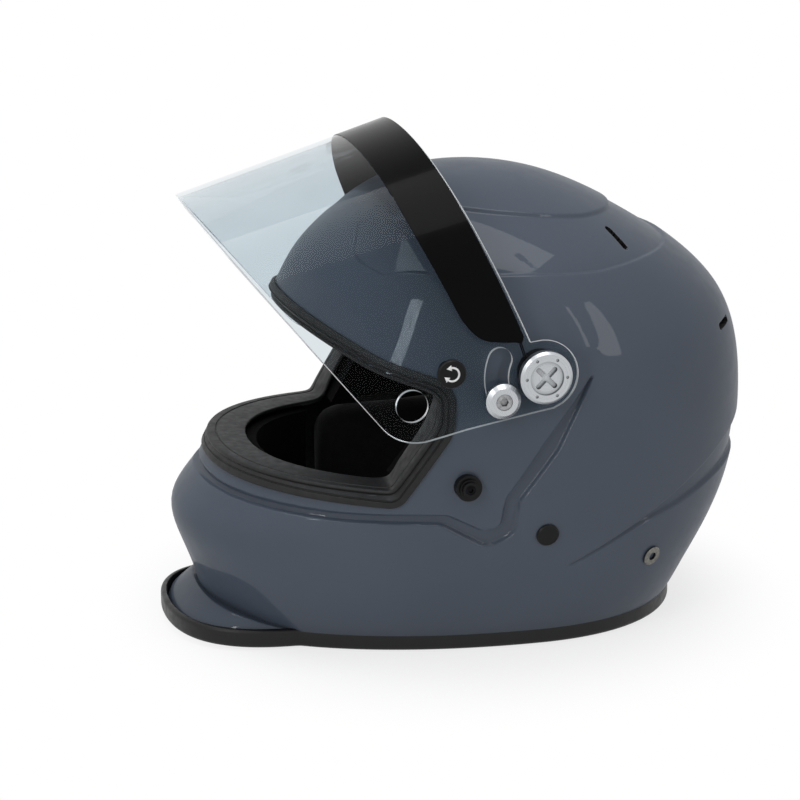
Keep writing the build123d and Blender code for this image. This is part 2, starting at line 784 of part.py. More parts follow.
# Pivot cap: a bevelled disc with a dished middle, a crossed slot and a ring of dimples
cap_low = sheet_out + running_gap
with BuildPart() as pivot_cap:
    with BuildSketch(pivot_plane(cap_low)):
        Circle(cap_radius)
    extrude(amount=cap_height)
    chamfer(pivot_cap.faces().sort_by(Axis.Y)[0].edges(), length=cap_bevel)
    with BuildSketch(pivot_plane(cap_low + cap_height)):
        Circle(cap_dish_radius)
    extrude(amount=-cap_dish_depth, mode=Mode.SUBTRACT)
    with BuildSketch(pivot_plane(cap_low + cap_height - cap_dish_depth)):
        for turn in (45, 135):
            SlotOverall(cap_cross_length, cap_cross_width, rotation=turn)
    extrude(amount=-cap_cross_depth, mode=Mode.SUBTRACT)
    with BuildSketch(pivot_plane(cap_low + cap_height)):
        with PolarLocations((cap_dish_radius + cap_radius - cap_bevel) / 2, cap_dimples):
            Circle(cap_dimple_radius)
    extrude(amount=-cap_dimple_depth, mode=Mode.SUBTRACT)
    with BuildSketch(pivot_plane(cap_low)):
        Circle(cap_stud_radius)
    extrude(amount=-cap_stud_length)


def socket_screw(place, seat_height, head, head_height, shank, length):
    """A left and a right screw with hexagon sockets, their heads seated at a height."""
    with BuildPart() as screw:
        with BuildSketch(pivot_plane(seat_height)):
            with Locations(place):
                Circle(head)
        extrude(amount=head_height)
        with BuildSketch(pivot_plane(seat_height)):
            with Locations(place):
                Circle(shank)
        extrude(amount=-length)
        with BuildSketch(pivot_plane(seat_height + head_height)):
            with Locations(place):
                RegularPolygon(head * socket_share, 6)
        extrude(amount=-head_height * socket_depth_share, mode=Mode.SUBTRACT)
        mirror(about=Plane.XZ)
    return screw.part


# Stop post: it stands in the shield's curved slot and its stepped collar holds the shield in
with BuildPart() as stop_post:
    with BuildSketch(pivot_plane(half_width - overrun)):
        with Locations(stop_place):
            Circle(stop_stem_radius)
    extrude(amount=cap_low - half_width + overrun)
    with BuildSketch(pivot_plane(cap_low)):
        with Locations(stop_place):
            Circle(stop_collar_radius)
    extrude(amount=stop_collar_height)
    chamfer(stop_post.faces().sort_by(Axis.Y)[0].edges(), length=stop_cone_drop)
    add(seat, mode=Mode.SUBTRACT)
    for radius, depth in (
        (stop_bore_radius, stop_bore_depth),
        (screw_radius + shaft_gap, 2 * overrun),
    ):
        with BuildSketch(pivot_plane(cap_low + stop_collar_height)):
            with Locations(stop_place):
                Circle(radius)
        extrude(amount=-depth, mode=Mode.SUBTRACT)

with BuildPart() as stop_post_screws:
    add(socket_screw(stop_place, cap_low + stop_collar_height - stop_bore_depth,
                     screw_head_radius, screw_head_height, screw_radius, screw_length))
stop_post_screws.part.label = "stop_post_screws"
export_step(stop_post_screws.part, "parts/stop_post_screws.step")

# Latch post: the hole in the shield's lower corner closes over its tip
with BuildPart() as latch_post:
    for radius, top in (
        (latch_base_radius, latch_top - latch_base_height),
        (latch_shoulder_radius, latch_top - latch_base_height + latch_shoulder_height),
        (latch_tip_radius, latch_top),
    ):
        with BuildSketch(pivot_plane(half_width - 2 * overrun)):
            with Locations(latch_place):
                Circle(radius)
        extrude(amount=top - half_width + 2 * overrun)
    add(seat, mode=Mode.SUBTRACT)
    for radius, depth in (
        (latch_screw_head_radius + shaft_gap, latch_screw_head_height),
        (latch_screw_radius + shaft_gap, 2 * overrun),
    ):
        with BuildSketch(pivot_plane(latch_top)):
            with Locations(latch_place):
                Circle(radius)
        extrude(amount=-depth, mode=Mode.SUBTRACT)

with BuildPart() as latch_post_screws:
    add(socket_screw(latch_place, latch_top - latch_screw_head_height, latch_screw_head_radius,
                     latch_screw_head_height, latch_screw_radius, latch_screw_length))
latch_post_screws.part.label = "latch_post_screws"
export_step(latch_post_screws.part, "parts/latch_post_screws.step")

# Shield: its own frame leans back by the angle it is raised
lean = radians(shield_rise)
shield_side = Plane(origin=pivot, x_dir=(cos(lean), 0, sin(lean)), z_dir=(0, -1, 0))
shield_end = Plane(origin=pivot, x_dir=(0, 1, 0), z_dir=(cos(lean), 0, sin(lean)))


def arch_face(grow, skirt):
    """The area under the shield's section, from the inside of the sheet moved out by grow."""
    half, crown = shield_half_width + grow, shield_crown + grow
    with BuildSketch(shield_end) as face:
        with BuildLine():
            Polyline((0, crown), (0, -skirt), (half, -skirt), (half, 0))
            Bezier((half, 0), (half, shield_fullness * crown), (shield_fullness * half, crown),
                   (0, crown))
        make_face()
        mirror(about=Plane.YZ)
    return face.sketch


def bent_sheet(start, wall, edge_shares, edge_round_shares, inset=0.0):
    """A sheet bent to the shield's section and cut to an outline seen from the side."""
    points = [(a * shield_crown, b * shield_crown) for a, b in edge_shares]
    with BuildPart() as sheet:
        extrude(arch_face(start + wall, shield_skirt), amount=front_reach, both=True)
        extrude(arch_face(start, shield_skirt + overrun), amount=front_reach + overrun,
                both=True, mode=Mode.SUBTRACT)
        with BuildSketch(shield_side):
            with BuildLine():
                FilletPolyline(*points, close=True,
                               radius=[share * front_reach for share in edge_round_shares])
            make_face()
            if inset:
                offset(amount=-inset, kind=Kind.INTERSECTION)
            else:
                Circle(ear_radius)
        extrude(amount=half_width + overrun, both=True, mode=Mode.INTERSECT)
    return sheet.part


tearoff_place = tuple(share * shield_crown for share in tearoff_shares)
slot_start = stop_angle + stop_clearance - slot_sweep
slot_end = round_pivot(slot_radius, stop_angle + stop_clearance)
with BuildPart() as shield:
    add(bent_sheet(0, shield_wall, shield_edge_shares, shield_edge_round_shares))
    with BuildSketch(pivot_plane(0)):
        Circle(shoulder_radius + running_gap)
        with BuildLine():
            CenterArc((0, 0), slot_radius, slot_start, slot_sweep)
        trace(line_width=slot_width)
        with Locations(round_pivot(slot_radius, slot_start), slot_end):
            Circle(slot_width / 2)
        with Locations(round_pivot(latch_radius, latch_hole_angle)):
            Circle(latch_hole_radius)
    extrude(amount=half_width + overrun, both=True, mode=Mode.SUBTRACT)
    with BuildSketch(shield_side):
        with Locations(tearoff_place):
            Circle(tearoff_stem_radius + running_gap)
    extrude(amount=half_width + overrun, both=True, mode=Mode.SUBTRACT)
shield.part.label = "shield"
export_step(shield.part, "parts/shield.step")

# Sun strip: a film stuck along the shield's top edge
with BuildPart() as sun_strip:
    add(bent_sheet(shield_wall, strip_wall, strip_shares, strip_round_shares, strip_inset))
sun_strip.part.label = "sun_strip"
export_step(sun_strip.part, "parts/sun_strip.step")

# Tear-off post: a waisted button on a stem through the shield, held by a lip behind its nut
with BuildPart() as tear_off_post:
    nut_back = shield_half_width - tearoff_nut_height
    for low, high, radius in (
        (nut_back - running_gap - tearoff_lip_height, nut_back - running_gap, tearoff_lip_radius),
        (nut_back - running_gap, cap_low, tearoff_stem_radius),
        (cap_low, cap_low + tearoff_height - tearoff_head, tearoff_waist_radius),
        (cap_low + tearoff_height - tearoff_head, cap_low + tearoff_height, tearoff_radius),
    ):
        with BuildSketch(shield_side.offset(low)):
            with Locations(tearoff_place):
                Circle(radius)
        extrude(amount=high - low)
    chamfer(tear_off_post.faces().sort_by(Axis.Y)[0].edges(), length=tearoff_bevel)

with BuildPart() as tear_off_nuts:
    with BuildSketch(shield_side.offset(nut_back)):
        with Locations(tearoff_place):
            Circle(tearoff_nut_radius)
            Circle(tearoff_stem_radius + running_gap, mode=Mode.SUBTRACT)
    extrude(amount=tearoff_nut_height)
    mirror(about=Plane.XZ)
    extrude(arch_face(-running_gap, shield_skirt), amount=front_reach, both=True,
            mode=Mode.INTERSECT)
tear_off_nuts.part.label = "tear_off_nuts"
export_step(tear_off_nuts.part, "parts/tear_off_nuts.step")

# These pieces have a mirror image on the other side
for name, left in (
    ("cheek_pad", cheek_pad),
    ("side_plug", side_plug),
    ("anchor_insert", anchor_insert),
    ("pivot_base", pivot_base),
    ("pivot_cap", pivot_cap),
    ("stop_post", stop_post),
    ("latch_post", latch_post),
    ("tear_off_post", tear_off_post),
):
    left.part.label = name + "_left"
    export_step(left.part, f"parts/{name}_left.step")
    with BuildPart() as right:
        mirror(left.part, about=Plane.XZ)
    right.part.label = name + "_right"
    export_step(right.part, f"parts/{name}_right.step")
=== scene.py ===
"""Studio view of a full-face auto racing helmet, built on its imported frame."""

from math import atan2, cos, pi, radians, sin

import bmesh
import bpy
import numpy as np
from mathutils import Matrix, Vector


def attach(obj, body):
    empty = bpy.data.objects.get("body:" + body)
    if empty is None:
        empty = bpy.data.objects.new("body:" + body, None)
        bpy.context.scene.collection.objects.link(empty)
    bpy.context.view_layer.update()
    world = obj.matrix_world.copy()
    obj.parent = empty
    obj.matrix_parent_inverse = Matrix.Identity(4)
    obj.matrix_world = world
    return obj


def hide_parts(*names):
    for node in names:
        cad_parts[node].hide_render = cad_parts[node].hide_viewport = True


bl_info = {
    "name": "Racing Helmet Studio",
    "blender": (4, 5, 0),
    "version": (1, 0, 0),
    "location": "View3D > Sidebar > Helmet",
    "description": "Builds the visual pieces of a racing helmet round its packed frame",
    "category": "Object",
}

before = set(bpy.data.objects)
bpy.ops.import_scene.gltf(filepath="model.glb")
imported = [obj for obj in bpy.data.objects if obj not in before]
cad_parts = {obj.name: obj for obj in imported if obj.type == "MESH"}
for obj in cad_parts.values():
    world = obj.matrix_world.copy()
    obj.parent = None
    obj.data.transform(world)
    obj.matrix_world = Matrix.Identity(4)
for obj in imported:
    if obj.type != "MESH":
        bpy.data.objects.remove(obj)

MM = 0.001
HANDS = ("left", "right")
MIRROR = np.array([1, -1, 1])

# Moulded form, in millimetres: the same levels as the frame's shell
SHELL_HEIGHT, FRONT_REACH, REAR_REACH, HALF_WIDTH = 268.5, 168.0, 175.5, 124.0
CROWN_FLAT = 3.0
FORM = np.array([
    # height, front, rear, side, widest, front fullness, rear fullness
    (0.000, 0.893, 0.732, 0.714, 0.182, 0.552, 0.584),
    (0.037, 0.905, 0.763, 0.778, 0.171, 0.568, 0.598),
    (0.112, 0.934, 0.820, 0.855, 0.160, 0.613, 0.613),
    (0.194, 0.982, 0.895, 0.911, 0.148, 0.639, 0.598),
    (0.272, 1.000, 0.952, 0.948, 0.137, 0.639, 0.584),
    (0.339, 0.923, 0.980, 0.972, 0.131, 0.626, 0.584),
    (0.413, 0.851, 0.997, 0.992, 0.125, 0.613, 0.584),
    (0.510, 0.780, 1.000, 1.000, 0.137, 0.613, 0.584),
    (0.615, 0.708, 0.980, 0.992, 0.148, 0.598, 0.584),
    (0.715, 0.628, 0.917, 0.944, 0.148, 0.584, 0.584),
    (0.801, 0.554, 0.792, 0.855, 0.137, 0.584, 0.584),
    (0.875, 0.446, 0.627, 0.710, 0.114, 0.584, 0.584),
    (0.931, 0.339, 0.473, 0.540, 0.080, 0.568, 0.568),
    (0.972, 0.220, 0.319, 0.355, 0.051, 0.552, 0.552),
    (0.994, 0.077, 0.165, 0.161, 0.040, 0.552, 0.552),
    (1.000, -0.024, 0.068, 0.024, 0.040, 0.552, 0.552),
])
LIP_CENTRE, LIP_REACH, LIP_HALF_WIDTH, LIP_TAIL, LIP_HEIGHT = 118.0, 56.0, 62.0, 98.0, 26.0
LIP_FULLNESS, LIP_TAIL_FULLNESS = 0.665, 0.552
LIP_TURN = 0.45  # how much of the tail the painted lip follows
LIP_LOW, RIDGE_TOP = 3.0, 27.0  # heights between which the lip's side may run
LIP = np.array([(-0.15, 1.0, 1.0), (0.15, 1.0, 1.0), (0.46, 0.938, 0.968), (0.69, 0.813, 0.895),
                (1.0, 0.625, 0.774)])
LEDGE = [(-1.30, 1.59), (-0.40, -0.15)]
LEDGE_LOW, LEDGE_MIDDLE = 4.0, -104.0  # its lowest height, and the place it runs in towards
RIM_LIFT, RIM_LIFT_FROM, RIM_LIFT_PAST = 3.2, 0.625, 12.0

# Outlines seen from the side: shares of the front or rear reach and of the height, and the
# corner radii as shares of the front reach
EYEPORT = ([(-1.131, 0.912), (-0.381, 0.663), (-0.161, 0.620), (-0.170, 0.519), (-0.348, 0.354),
            (-1.131, 0.388)], [0.01, 0.36, 0.085, 0.15, 0.065, 0.01])
CHANNEL = ([(0.298, 0.637), (0.173, 0.471), (0.048, 0.359), (0.039, 0.287), (-0.048, 0.255),
            (-0.214, 0.317), (-0.536, 0.324), (-1.110, 0.352), (-1.110, 0.364), (-0.536, 0.341),
            (-0.196, 0.337), (-0.071, 0.296), (-0.012, 0.304), (0.003, 0.369), (0.131, 0.492)],
           [0.003, 0.0, 0.05, 0.06, 0.07, 0.09, 0.2, 0.0, 0.0, 0.2, 0.06, 0.04, 0.03, 0.05, 0.0])
CROWN = ([(-0.423, 0.844), (-0.345, 0.823), (-0.274, 0.834), (0.351, 0.824), (0.548, 0.832),
          (0.860, 0.836), (0.860, 0.885), (0.583, 0.907), (0.357, 0.915), (0.167, 0.929),
          (-0.083, 0.946), (-0.369, 0.905)],
         [0.03, 0.02, 0.1, 0.3, 0.3, 0.0, 0.0, 0.3, 0.3, 0.3, 0.3, 0.05])
GUTTER = ([(0.232, 0.197), (0.327, 0.223), (0.500, 0.274), (0.619, 0.294), (0.786, 0.328),
           (1.071, 0.372), (1.071, 0.480), (0.827, 0.400), (0.732, 0.365), (0.601, 0.318),
           (0.411, 0.255)],
          [0.0, 0.3, 0.3, 0.3, 0.3, 0.0, 0.0, 0.3, 0.3, 0.3, 0.3])
VENTS = [((0.465, 0.872), -98.0), ((0.850, 0.661), 4.0)]  # place, and degrees from level
VENT_LENGTH, VENT_WIDTH = 20.0, 4.2
VENT_DRAW, VENT_WALL = 0.42, 0.6  # reach of the points drawn onto its edge, width of its wall

# Ridge behind the eyeport: a line seen from the side, its height and its half width
RIDGE_LINE = np.array([(-14, 232), (12, 226), (28, 216), (40, 196), (50, 173)])
RIDGE_HEIGHT, RIDGE_HALF = 1.5, 7.0

# Shield, in millimetres from the pivot axis, raised by its angle
PIVOT_X, PIVOT_Z, SHIELD_RISE = 19.0, 172.0, radians(17.5)
SHIELD_HALF, SHIELD_CROWN, SHIELD_FULLNESS = 127.6, 128.2, 0.64
EAR_RADIUS = 20.0
SHIELD_EDGE = ([(-0.113, 1.17), (-0.008, 0.148), (0.0, -0.156), (-0.390, -0.105),
                (-0.690, -0.082), (-1.205, 1.17)], [0.0, 0.03, 0.02, 0.15, 0.16, 0.0])
STRIP_EDGE = ([(-0.113, 1.17), (-0.030, 0.170), (-0.110, 0.195), (-0.215, 0.240),
               (-0.262, 0.340), (-0.310, 0.700), (-0.345, 1.17)],
              [0.0, 0.015, 0.1, 0.1, 0.2, 0.5, 0.0])
SLOT_RADIUS, SLOT_WIDTH, SLOT_START, SLOT_SWEEP = 27.0, 13.6, 157.0, 51.0
LATCH_RADIUS, LATCH_ANGLE, LATCH_HOLE = 76.0, 189.3, 9.0
TEAROFF = (-0.386, 0.170)
PIVOT_HOLE, TEAROFF_HOLE = 7.3, 3.3
TEAROFF_HEIGHT, RUNNING_GAP = 4.6, 0.3  # a tear-off post's height, and its gap to the sheet

# Rubber sections in millimetres, with their corner radii and steps: the bead (outwards, up), and
# the seal's flange (inwards, out) and web (inwards, deeper)
BEAD = ([(-6.2, 0.0), (3.2, 0.0), (3.2, 11.0), (-0.2, 11.0), (-0.6, 3.0), (-4.4, 3.0),
         (-4.8, 10.0), (-6.2, 10.0)], [1.0, 2.6, 2.2, 0.5, 0.1, 0.1, 0.5, 0.6], 6)
FLANGE = ([(0.0, -1.0), (0.0, 2.0), (3.6, 2.2), (3.9, 1.5), (4.5, 1.5), (4.8, 2.2), (9.3, 2.2)],
          [0, 0.9, 0.3, 0.1, 0.1, 0.3, 0.0], 4)
WEB = ([(9.3, -1.2), (9.5, 6.0), (8.9, 6.4), (8.9, 7.0), (9.5, 7.4), (9.5, 24.0), (7.0, 24.0),
        (6.0, 2.5)], [1.4, 0.2, 0.1, 0.1, 0.2, 1.0, 0.5, 0.0], 4)

# Padding: the cheek pad's box seen from the side, its two faces, and its layers from the inner
# face out, each with its share of the way and how much of the outline it fills
PAD_LOW, PAD_HIGH, PAD_CORNER = (-66.0, 38.0), (56.0, 99.0), 16.0
PAD_INNER, PAD_INSET = 74.0, 13.5  # to its inner face, and from the skin to its outer face
PAD_LAYERS = [(0.0, 0.86), (0.10, 0.96), (0.30, 1.0), (0.7, 1.0), (1.0, 0.96)]
ROLL_INSET, ROLL_LEVEL, ROLL_RISE, ROLL_SQUARE = 13.1, 27.0, 10.5, 0.75

# Chin strap, in the plane across the helmet
STRAP_X, STRAP_TOP, STRAP_LEVEL, STRAP_INNER, STRAP_WIDE = 25.6, 86.0, 30.0, 62.0, 25.0
STRAP_SEAT, STRAP_HALF_WALL, STRAP_TURN = 2.2, 0.9, 3.0
FOLD_STEP, FOLD_DEEP, FOLD_SHORT = 6, 21.0, 15  # the right half's folded end


# Curves and surfaces


def side_place(shares):
    """A place seen from the side, in millimetres, from its shares."""
    along, up = shares
    return along * (FRONT_REACH if along < 0 else REAR_REACH), up * SHELL_HEIGHT


def rounded(points, radii, steps=10):
    """A closed outline with its corners rounded, as an array of points."""
    out = []
    count = len(points)
    for i, radius in enumerate(radii):
        p = np.array(points[i], float)
        a = np.array(points[i - 1], float) - p
        b = np.array(points[(i + 1) % count], float) - p
        a, b = a / np.linalg.norm(a), b / np.linalg.norm(b)
        angle = np.arccos(np.clip(a @ b, -1, 1))
        if radius < 1e-6 or angle > pi - 1e-3:
            out.append(p)
            continue
        reach = radius / np.tan(angle / 2)
        middle = p + (a + b) / np.linalg.norm(a + b) * radius / sin(angle / 2)
        start, end = p + a * reach - middle, p + b * reach - middle
        turn = atan2(start[0] * end[1] - start[1] * end[0], start @ end)
        for k in range(steps + 1):
            t = turn * k / steps
            out.append(middle + (start[0] * cos(t) - start[1] * sin(t),
                                 start[0] * sin(t) + start[1] * cos(t)))
    return np.array(out)


def outline(shape):
    """A rounded outline in millimetres from a pair of share lists."""
    points, radii = shape
    return rounded([side_place(p) for p in points], [r * FRONT_REACH for r in radii])


def unit(rows):
    """Rows at a length of one."""
    return rows / np.linalg.norm(rows, axis=1)[:, None]


def square_to(rows, axes):
    """What each row has square to its axis, at a length of one."""
    return unit(rows - axes * np.einsum("ij,ij->i", rows, axes)[:, None])


def run_along(line):
    """How far along a line each of its points is."""
    return np.concatenate([[0], np.cumsum(np.linalg.norm(np.diff(line, axis=0), axis=1))])


def evenly(ring, count):
    """A closed ring drawn again with evenly spaced points."""
    closed = np.concatenate([ring, ring[:1]])
    run = run_along(closed)
    at = np.linspace(0, run[-1], count, endpoint=False)
    return np.stack([np.interp(at, run, row) for row in closed.T], 1)


def blur(rows, reach):
    """Rows of a closed ring, each averaged with its neighbours out to a reach."""
    kernel = np.hanning(2 * reach + 3)[1:-1]
    kernel /= kernel.sum()
    return sum(np.roll(rows, k - reach, 0) * kernel[k] for k in range(2 * reach + 1))


def signed(points, ring):
    """Distance from each point to a closed outline, less than zero inside, and its direction."""
    best = np.full(len(points), 1e9)
    away = np.zeros((len(points), 2))
    inside = np.zeros(len(points), bool)
    for a, b in zip(ring, np.roll(ring, -1, 0)):
        d = b - a
        length = d @ d
        if length < 1e-12:
            continue
        t = np.clip(((points - a) @ d) / length, 0, 1)
        gap = points - a - t[:, None] * d
        far = np.einsum("ij,ij->i", gap, gap)
        near = far < best
        best[near], away[near] = far[near], gap[near]
        cross = (a[1] > points[:, 1]) != (b[1] > points[:, 1])
        with np.errstate(divide="ignore", invalid="ignore"):
            inside ^= cross & (points[:, 0] < d[0] * (points[:, 1] - a[1]) / d[1] + a[0])
    best = np.sqrt(best)
    away /= np.maximum(best, 1e-9)[:, None]
    return np.where(inside, -best, best), np.where(inside[:, None], -away, away)


class Smooth:
    """A natural cubic curve through rows of values."""

    def __init__(self, knots, rows):
        self.x, self.y = np.asarray(knots, float), np.asarray(rows, float)
        h = np.diff(self.x)
        n = len(self.x)
        m = np.eye(n)
        r = np.zeros_like(self.y)
        for i in range(1, n - 1):
            m[i, i - 1:i + 2] = h[i - 1], 2 * (h[i - 1] + h[i]), h[i]
            r[i] = 6 * ((self.y[i + 1] - self.y[i]) / h[i] - (self.y[i] - self.y[i - 1]) / h[i - 1])
        self.bend = np.linalg.solve(m, r)

    def __call__(self, at):
        at = np.asarray(at, float)
        i = np.clip(np.searchsorted(self.x, at) - 1, 0, len(self.x) - 2)
        h = (self.x[i + 1] - self.x[i])[:, None]
        a, b = (self.x[i + 1] - at)[:, None] / h, (at - self.x[i])[:, None] / h
        return (a * self.y[i] + b * self.y[i + 1]
                + ((a**3 - a) * self.bend[i] + (b**3 - b) * self.bend[i + 1]) * h**2 / 6)


def quarter(s, reach, width, full):
    """A quarter of a level, from its widest place at s = 0 to its end at s = 1."""
    a, b, c, d = (1 - s)**3, 3 * s * (1 - s)**2, 3 * s**2 * (1 - s), s**3
    return full * reach * b + reach * c + reach * d, width * (a + b) + full * width * c


def plan(u, front, rear, side, widest, front_full, rear_full):
    """A place round a level: u runs 0 to 1 from the back, by the left side, and round again."""
    turn = (u % 1.0) * 4
    part = np.minimum(turn.astype(int), 3)
    s = turn - part
    s = np.where((part == 0) | (part == 2), 1 - s, s)
    ahead = (part == 1) | (part == 2)
    reach = np.where(ahead, -front - widest, rear - widest)
    x, y = quarter(s, reach, side, np.where(ahead, front_full, rear_full))
    return widest + x, np.where(part < 2, -y, y)


def form_curve():
    """The form's levels as one smooth curve of heights, reaches and fullnesses."""
    scale = np.array([SHELL_HEIGHT, FRONT_REACH, REAR_REACH, HALF_WIDTH, REAR_REACH, 1, 1])
    rows = FORM * scale
    rows[:, 1] = np.maximum(rows[:, 1], CROWN_FLAT - rows[:, 4])
    rows[:, 2] = np.maximum(rows[:, 2], CROWN_FLAT + rows[:, 4])
    rows[:, 3] = np.maximum(rows[:, 3], CROWN_FLAT)
    steps = np.sqrt((np.diff(rows[:, :4], axis=0) ** 2 @ np.array([1, 0.5, 0.5, 0.5])))
    return Smooth(np.concatenate([[0], np.cumsum(steps)]), rows)


CURVE = form_curve()
T_END = CURVE.x[-1]
T_TABLE = np.linspace(0, T_END, 1500)
Z_TABLE = CURVE(T_TABLE)[:, 0]


def t_at(z):
    """Where the form's curve reaches a height."""
    return np.interp(z, Z_TABLE, T_TABLE)


def skin(u, t):
    """Places on the outside of the form."""
    rows = CURVE(t)
    x, y = plan(u, *rows[:, 1:].T)
    return np.stack([x, y, rows[:, 0]], 1)


def skin_and_normal(u, t):
    """Places on the form and their outward directions."""
    du, dt = 2e-4, 0.15
    across = skin(u + du, t) - skin(u - du, t)
    up = skin(u, np.minimum(t + dt, T_END)) - skin(u, np.maximum(t - dt, 0))
    n = np.cross(across, up)
    size = np.linalg.norm(n, axis=1)
    n[size < 1e-9] = (0, 0, 1)
    n /= np.maximum(size, 1e-9)[:, None]
    p = skin(u, t)
    if np.mean(n[:, 2] * (p[:, 2] - 130) + n[:, 1] * p[:, 1]) < 0:
        n = -n
    return p, n


def skin_y(x, z):
    """Half width of the form at places seen from the side, and whether each is on the form."""
    rows = CURVE(t_at(np.atleast_1d(z)))
    x = np.atleast_1d(x)
    widest = rows[:, 4]
    ahead = x < widest
    reach = np.where(ahead, -rows[:, 1] - widest, rows[:, 2] - widest)
    full = np.where(ahead, rows[:, 5], rows[:, 6])
    on = (x >= -rows[:, 1]) & (x <= rows[:, 2])
    target = np.clip((x - widest) / reach, 0, 1)
    low, high = np.zeros_like(target), np.ones_like(target)
    for _ in range(30):
        s = (low + high) / 2
        under = quarter(s, 1.0, 1.0, full)[0] < target
        low, high = np.where(under, s, low), np.where(under, high, s)
    return quarter((low + high) / 2, 1.0, rows[:, 3], full)[1], on


def millimetres(setting):
    """One of the settings' lengths in millimetres."""
    return getattr(settings(), setting) / MM


def smoothstep(x):
    """0 to 1 with a soft start and end."""
    x = np.clip(x, 0, 1)
    return x * x * (3 - 2 * x)


# Each groove: its outline, its depth's setting and the width of the roll into it
GROOVES = [(outline(CHANNEL), "channel_depth", 1.4), (outline(CROWN), "crown_depth", 2.2),
           (outline(GUTTER), "gutter_depth", 2.2)]


def line_distance(points, line):
    """Distance from each point to an open line, and how far along the line it is, 0 to 1."""
    best, along = np.full(len(points), 1e9), np.zeros(len(points))
    run = run_along(line)
    for a, b, start, end in zip(line, line[1:], run, run[1:]):
        d = (b - a) / (end - start)
        t = np.clip((points - a) @ d, 0, end - start)
        far = np.linalg.norm(points - a - t[:, None] * d, axis=1)
        near = far < best
        best[near], along[near] = far[near], (start + t[near]) / run[-1]
    return best, along


def left_u(x, z):
    """The turn round the form of a place on its left side."""
    u = np.linspace(0.001, 0.499, 900)
    places = skin(u, np.full(900, t_at(z)))
    return u[np.argmin(np.abs(places[:, 0] - x))]


def vent_frames():
    """Middle, direction and cross direction of each vent on the left side."""
    frames = []
    for shares, lean in VENTS:
        x, z = side_place(shares)
        (p,), (n,) = skin_and_normal(np.array([left_u(x, z)]), np.array([t_at(z)]))
        flat = np.array([-n[1], n[0], 0])
        flat /= np.linalg.norm(flat)
        rise = np.cross(n, flat)
        along = flat * cos(radians(lean)) + rise * sin(radians(lean))
        frames.append((p, along, np.cross(n, along)))
    return frames


VENT_FRAMES = vent_frames()


def vent_distance(p):
    """Distance to the nearest vent's slot, less than zero inside, and its direction."""
    left = p.copy()
    left[:, 1] = -np.abs(left[:, 1])
    best = np.full(len(p), 1e9)
    away = np.zeros((len(p), 3))
    half = VENT_WIDTH / 2
    for middle, along, cross in VENT_FRAMES:
        gap = left - middle
        a, c = gap @ along, gap @ cross
        a = np.sign(a) * np.maximum(np.abs(a) - (VENT_LENGTH / 2 - half), 0)
        far = np.hypot(a, c)
        near = far - half < best
        best[near] = far[near] - half
        way = (a[:, None] * along + c[:, None] * cross) / np.maximum(far, 1e-6)[:, None]
        away[near] = way[near]
    away[:, 1] *= np.where(p[:, 1] > 0, -1, 1)
    return best, away


def carved(p, n):
    """The surface with its grooves, ridge and vents, and how far a groove's edge and a vent are."""
    seen = p[:, [0, 2]]
    depth = np.zeros(len(p))
    near = np.full(len(p), 1e9)
    for ring, deep, roll in GROOVES:
        d, g = signed(seen, ring)
        lean = n[:, 0] * g[:, 0] + n[:, 2] * g[:, 1]
        real = d / np.sqrt(np.maximum(1 - lean**2, 0.05))
        depth = np.maximum(depth, millimetres(deep) * smoothstep(0.5 - real / roll))
        near = np.minimum(near, np.abs(real))
    d, along = line_distance(seen, RIDGE_LINE)
    ends = smoothstep(np.minimum(along, 1 - along) / 0.15)
    depth -= RIDGE_HEIGHT * ends * np.exp(-((d / RIDGE_HALF) ** 2))
    vent, away = vent_distance(p)
    # Points close to a slot's edge are drawn onto it, so that the edge is one clean line
    drawn = np.abs(vent) < VENT_DRAW
    p = np.where(drawn[:, None], p - away * vent[:, None], p)
    vent = np.where(drawn, 0.0, vent)
    depth = depth + millimetres("vent_depth") * smoothstep(-vent / VENT_WALL)
    return p - n * depth[:, None], near, vent


def make_mesh(name, points, faces, materials, face_slots=None, smooth=True):
    """A mesh object from millimetre points, linked to the scene."""
    mesh = bpy.data.meshes.new(name)
    mesh.from_pydata((np.asarray(points, float) * MM).tolist(), [], faces)
    for material in materials:
        mesh.materials.append(material)
    if face_slots is not None:
        mesh.polygons.foreach_set("material_index", np.asarray(face_slots, np.int32))
    mesh.polygons.foreach_set("use_smooth", np.full(len(mesh.polygons), smooth))
    mesh.validate()
    mesh.update()
    piece = bpy.data.objects.new(name, mesh)
    bpy.context.scene.collection.objects.link(piece)
    return piece


def settle(piece, smooth=True):
    """Replace a piece's mesh with what its modifiers make of it."""
    bpy.context.view_layer.update()
    made = bpy.data.meshes.new_from_object(
        piece.evaluated_get(bpy.context.evaluated_depsgraph_get()))
    piece.modifiers.clear()
    old = piece.data
    piece.data = made
    bpy.data.meshes.remove(old)
    made.name = piece.name
    if smooth:
        made.polygons.foreach_set("use_smooth", np.ones(len(made.polygons), bool))


def outwards(piece, join=True):
    """Make a piece's faces look outwards, its doubled points joined first or left."""
    bm = bmesh.new()
    bm.from_mesh(piece.data)
    if join:
        bmesh.ops.remove_doubles(bm, verts=bm.verts, dist=1e-6)
    bmesh.ops.recalc_face_normals(bm, faces=bm.faces)
    bm.to_mesh(piece.data)
    bm.free()
    return piece


def tube(name, sections, materials, slots=None, ring=False, join=True):
    """A mesh through sections of one size, closed as a ring or by a face at each end."""
    rows, columns = len(sections), len(sections[0])
    faces = []
    for i in range(rows if ring else rows - 1):
        for j in range(columns):
            a, b, k = i * columns, (i + 1) % rows * columns, (j + 1) % columns
            faces.append((a + j, a + k, b + k, b + j))
    if not ring:
        faces += [range(columns), range(rows * columns - 1, (rows - 1) * columns - 1, -1)]
    return outwards(make_mesh(name, np.concatenate(sections), faces, materials, slots), join)


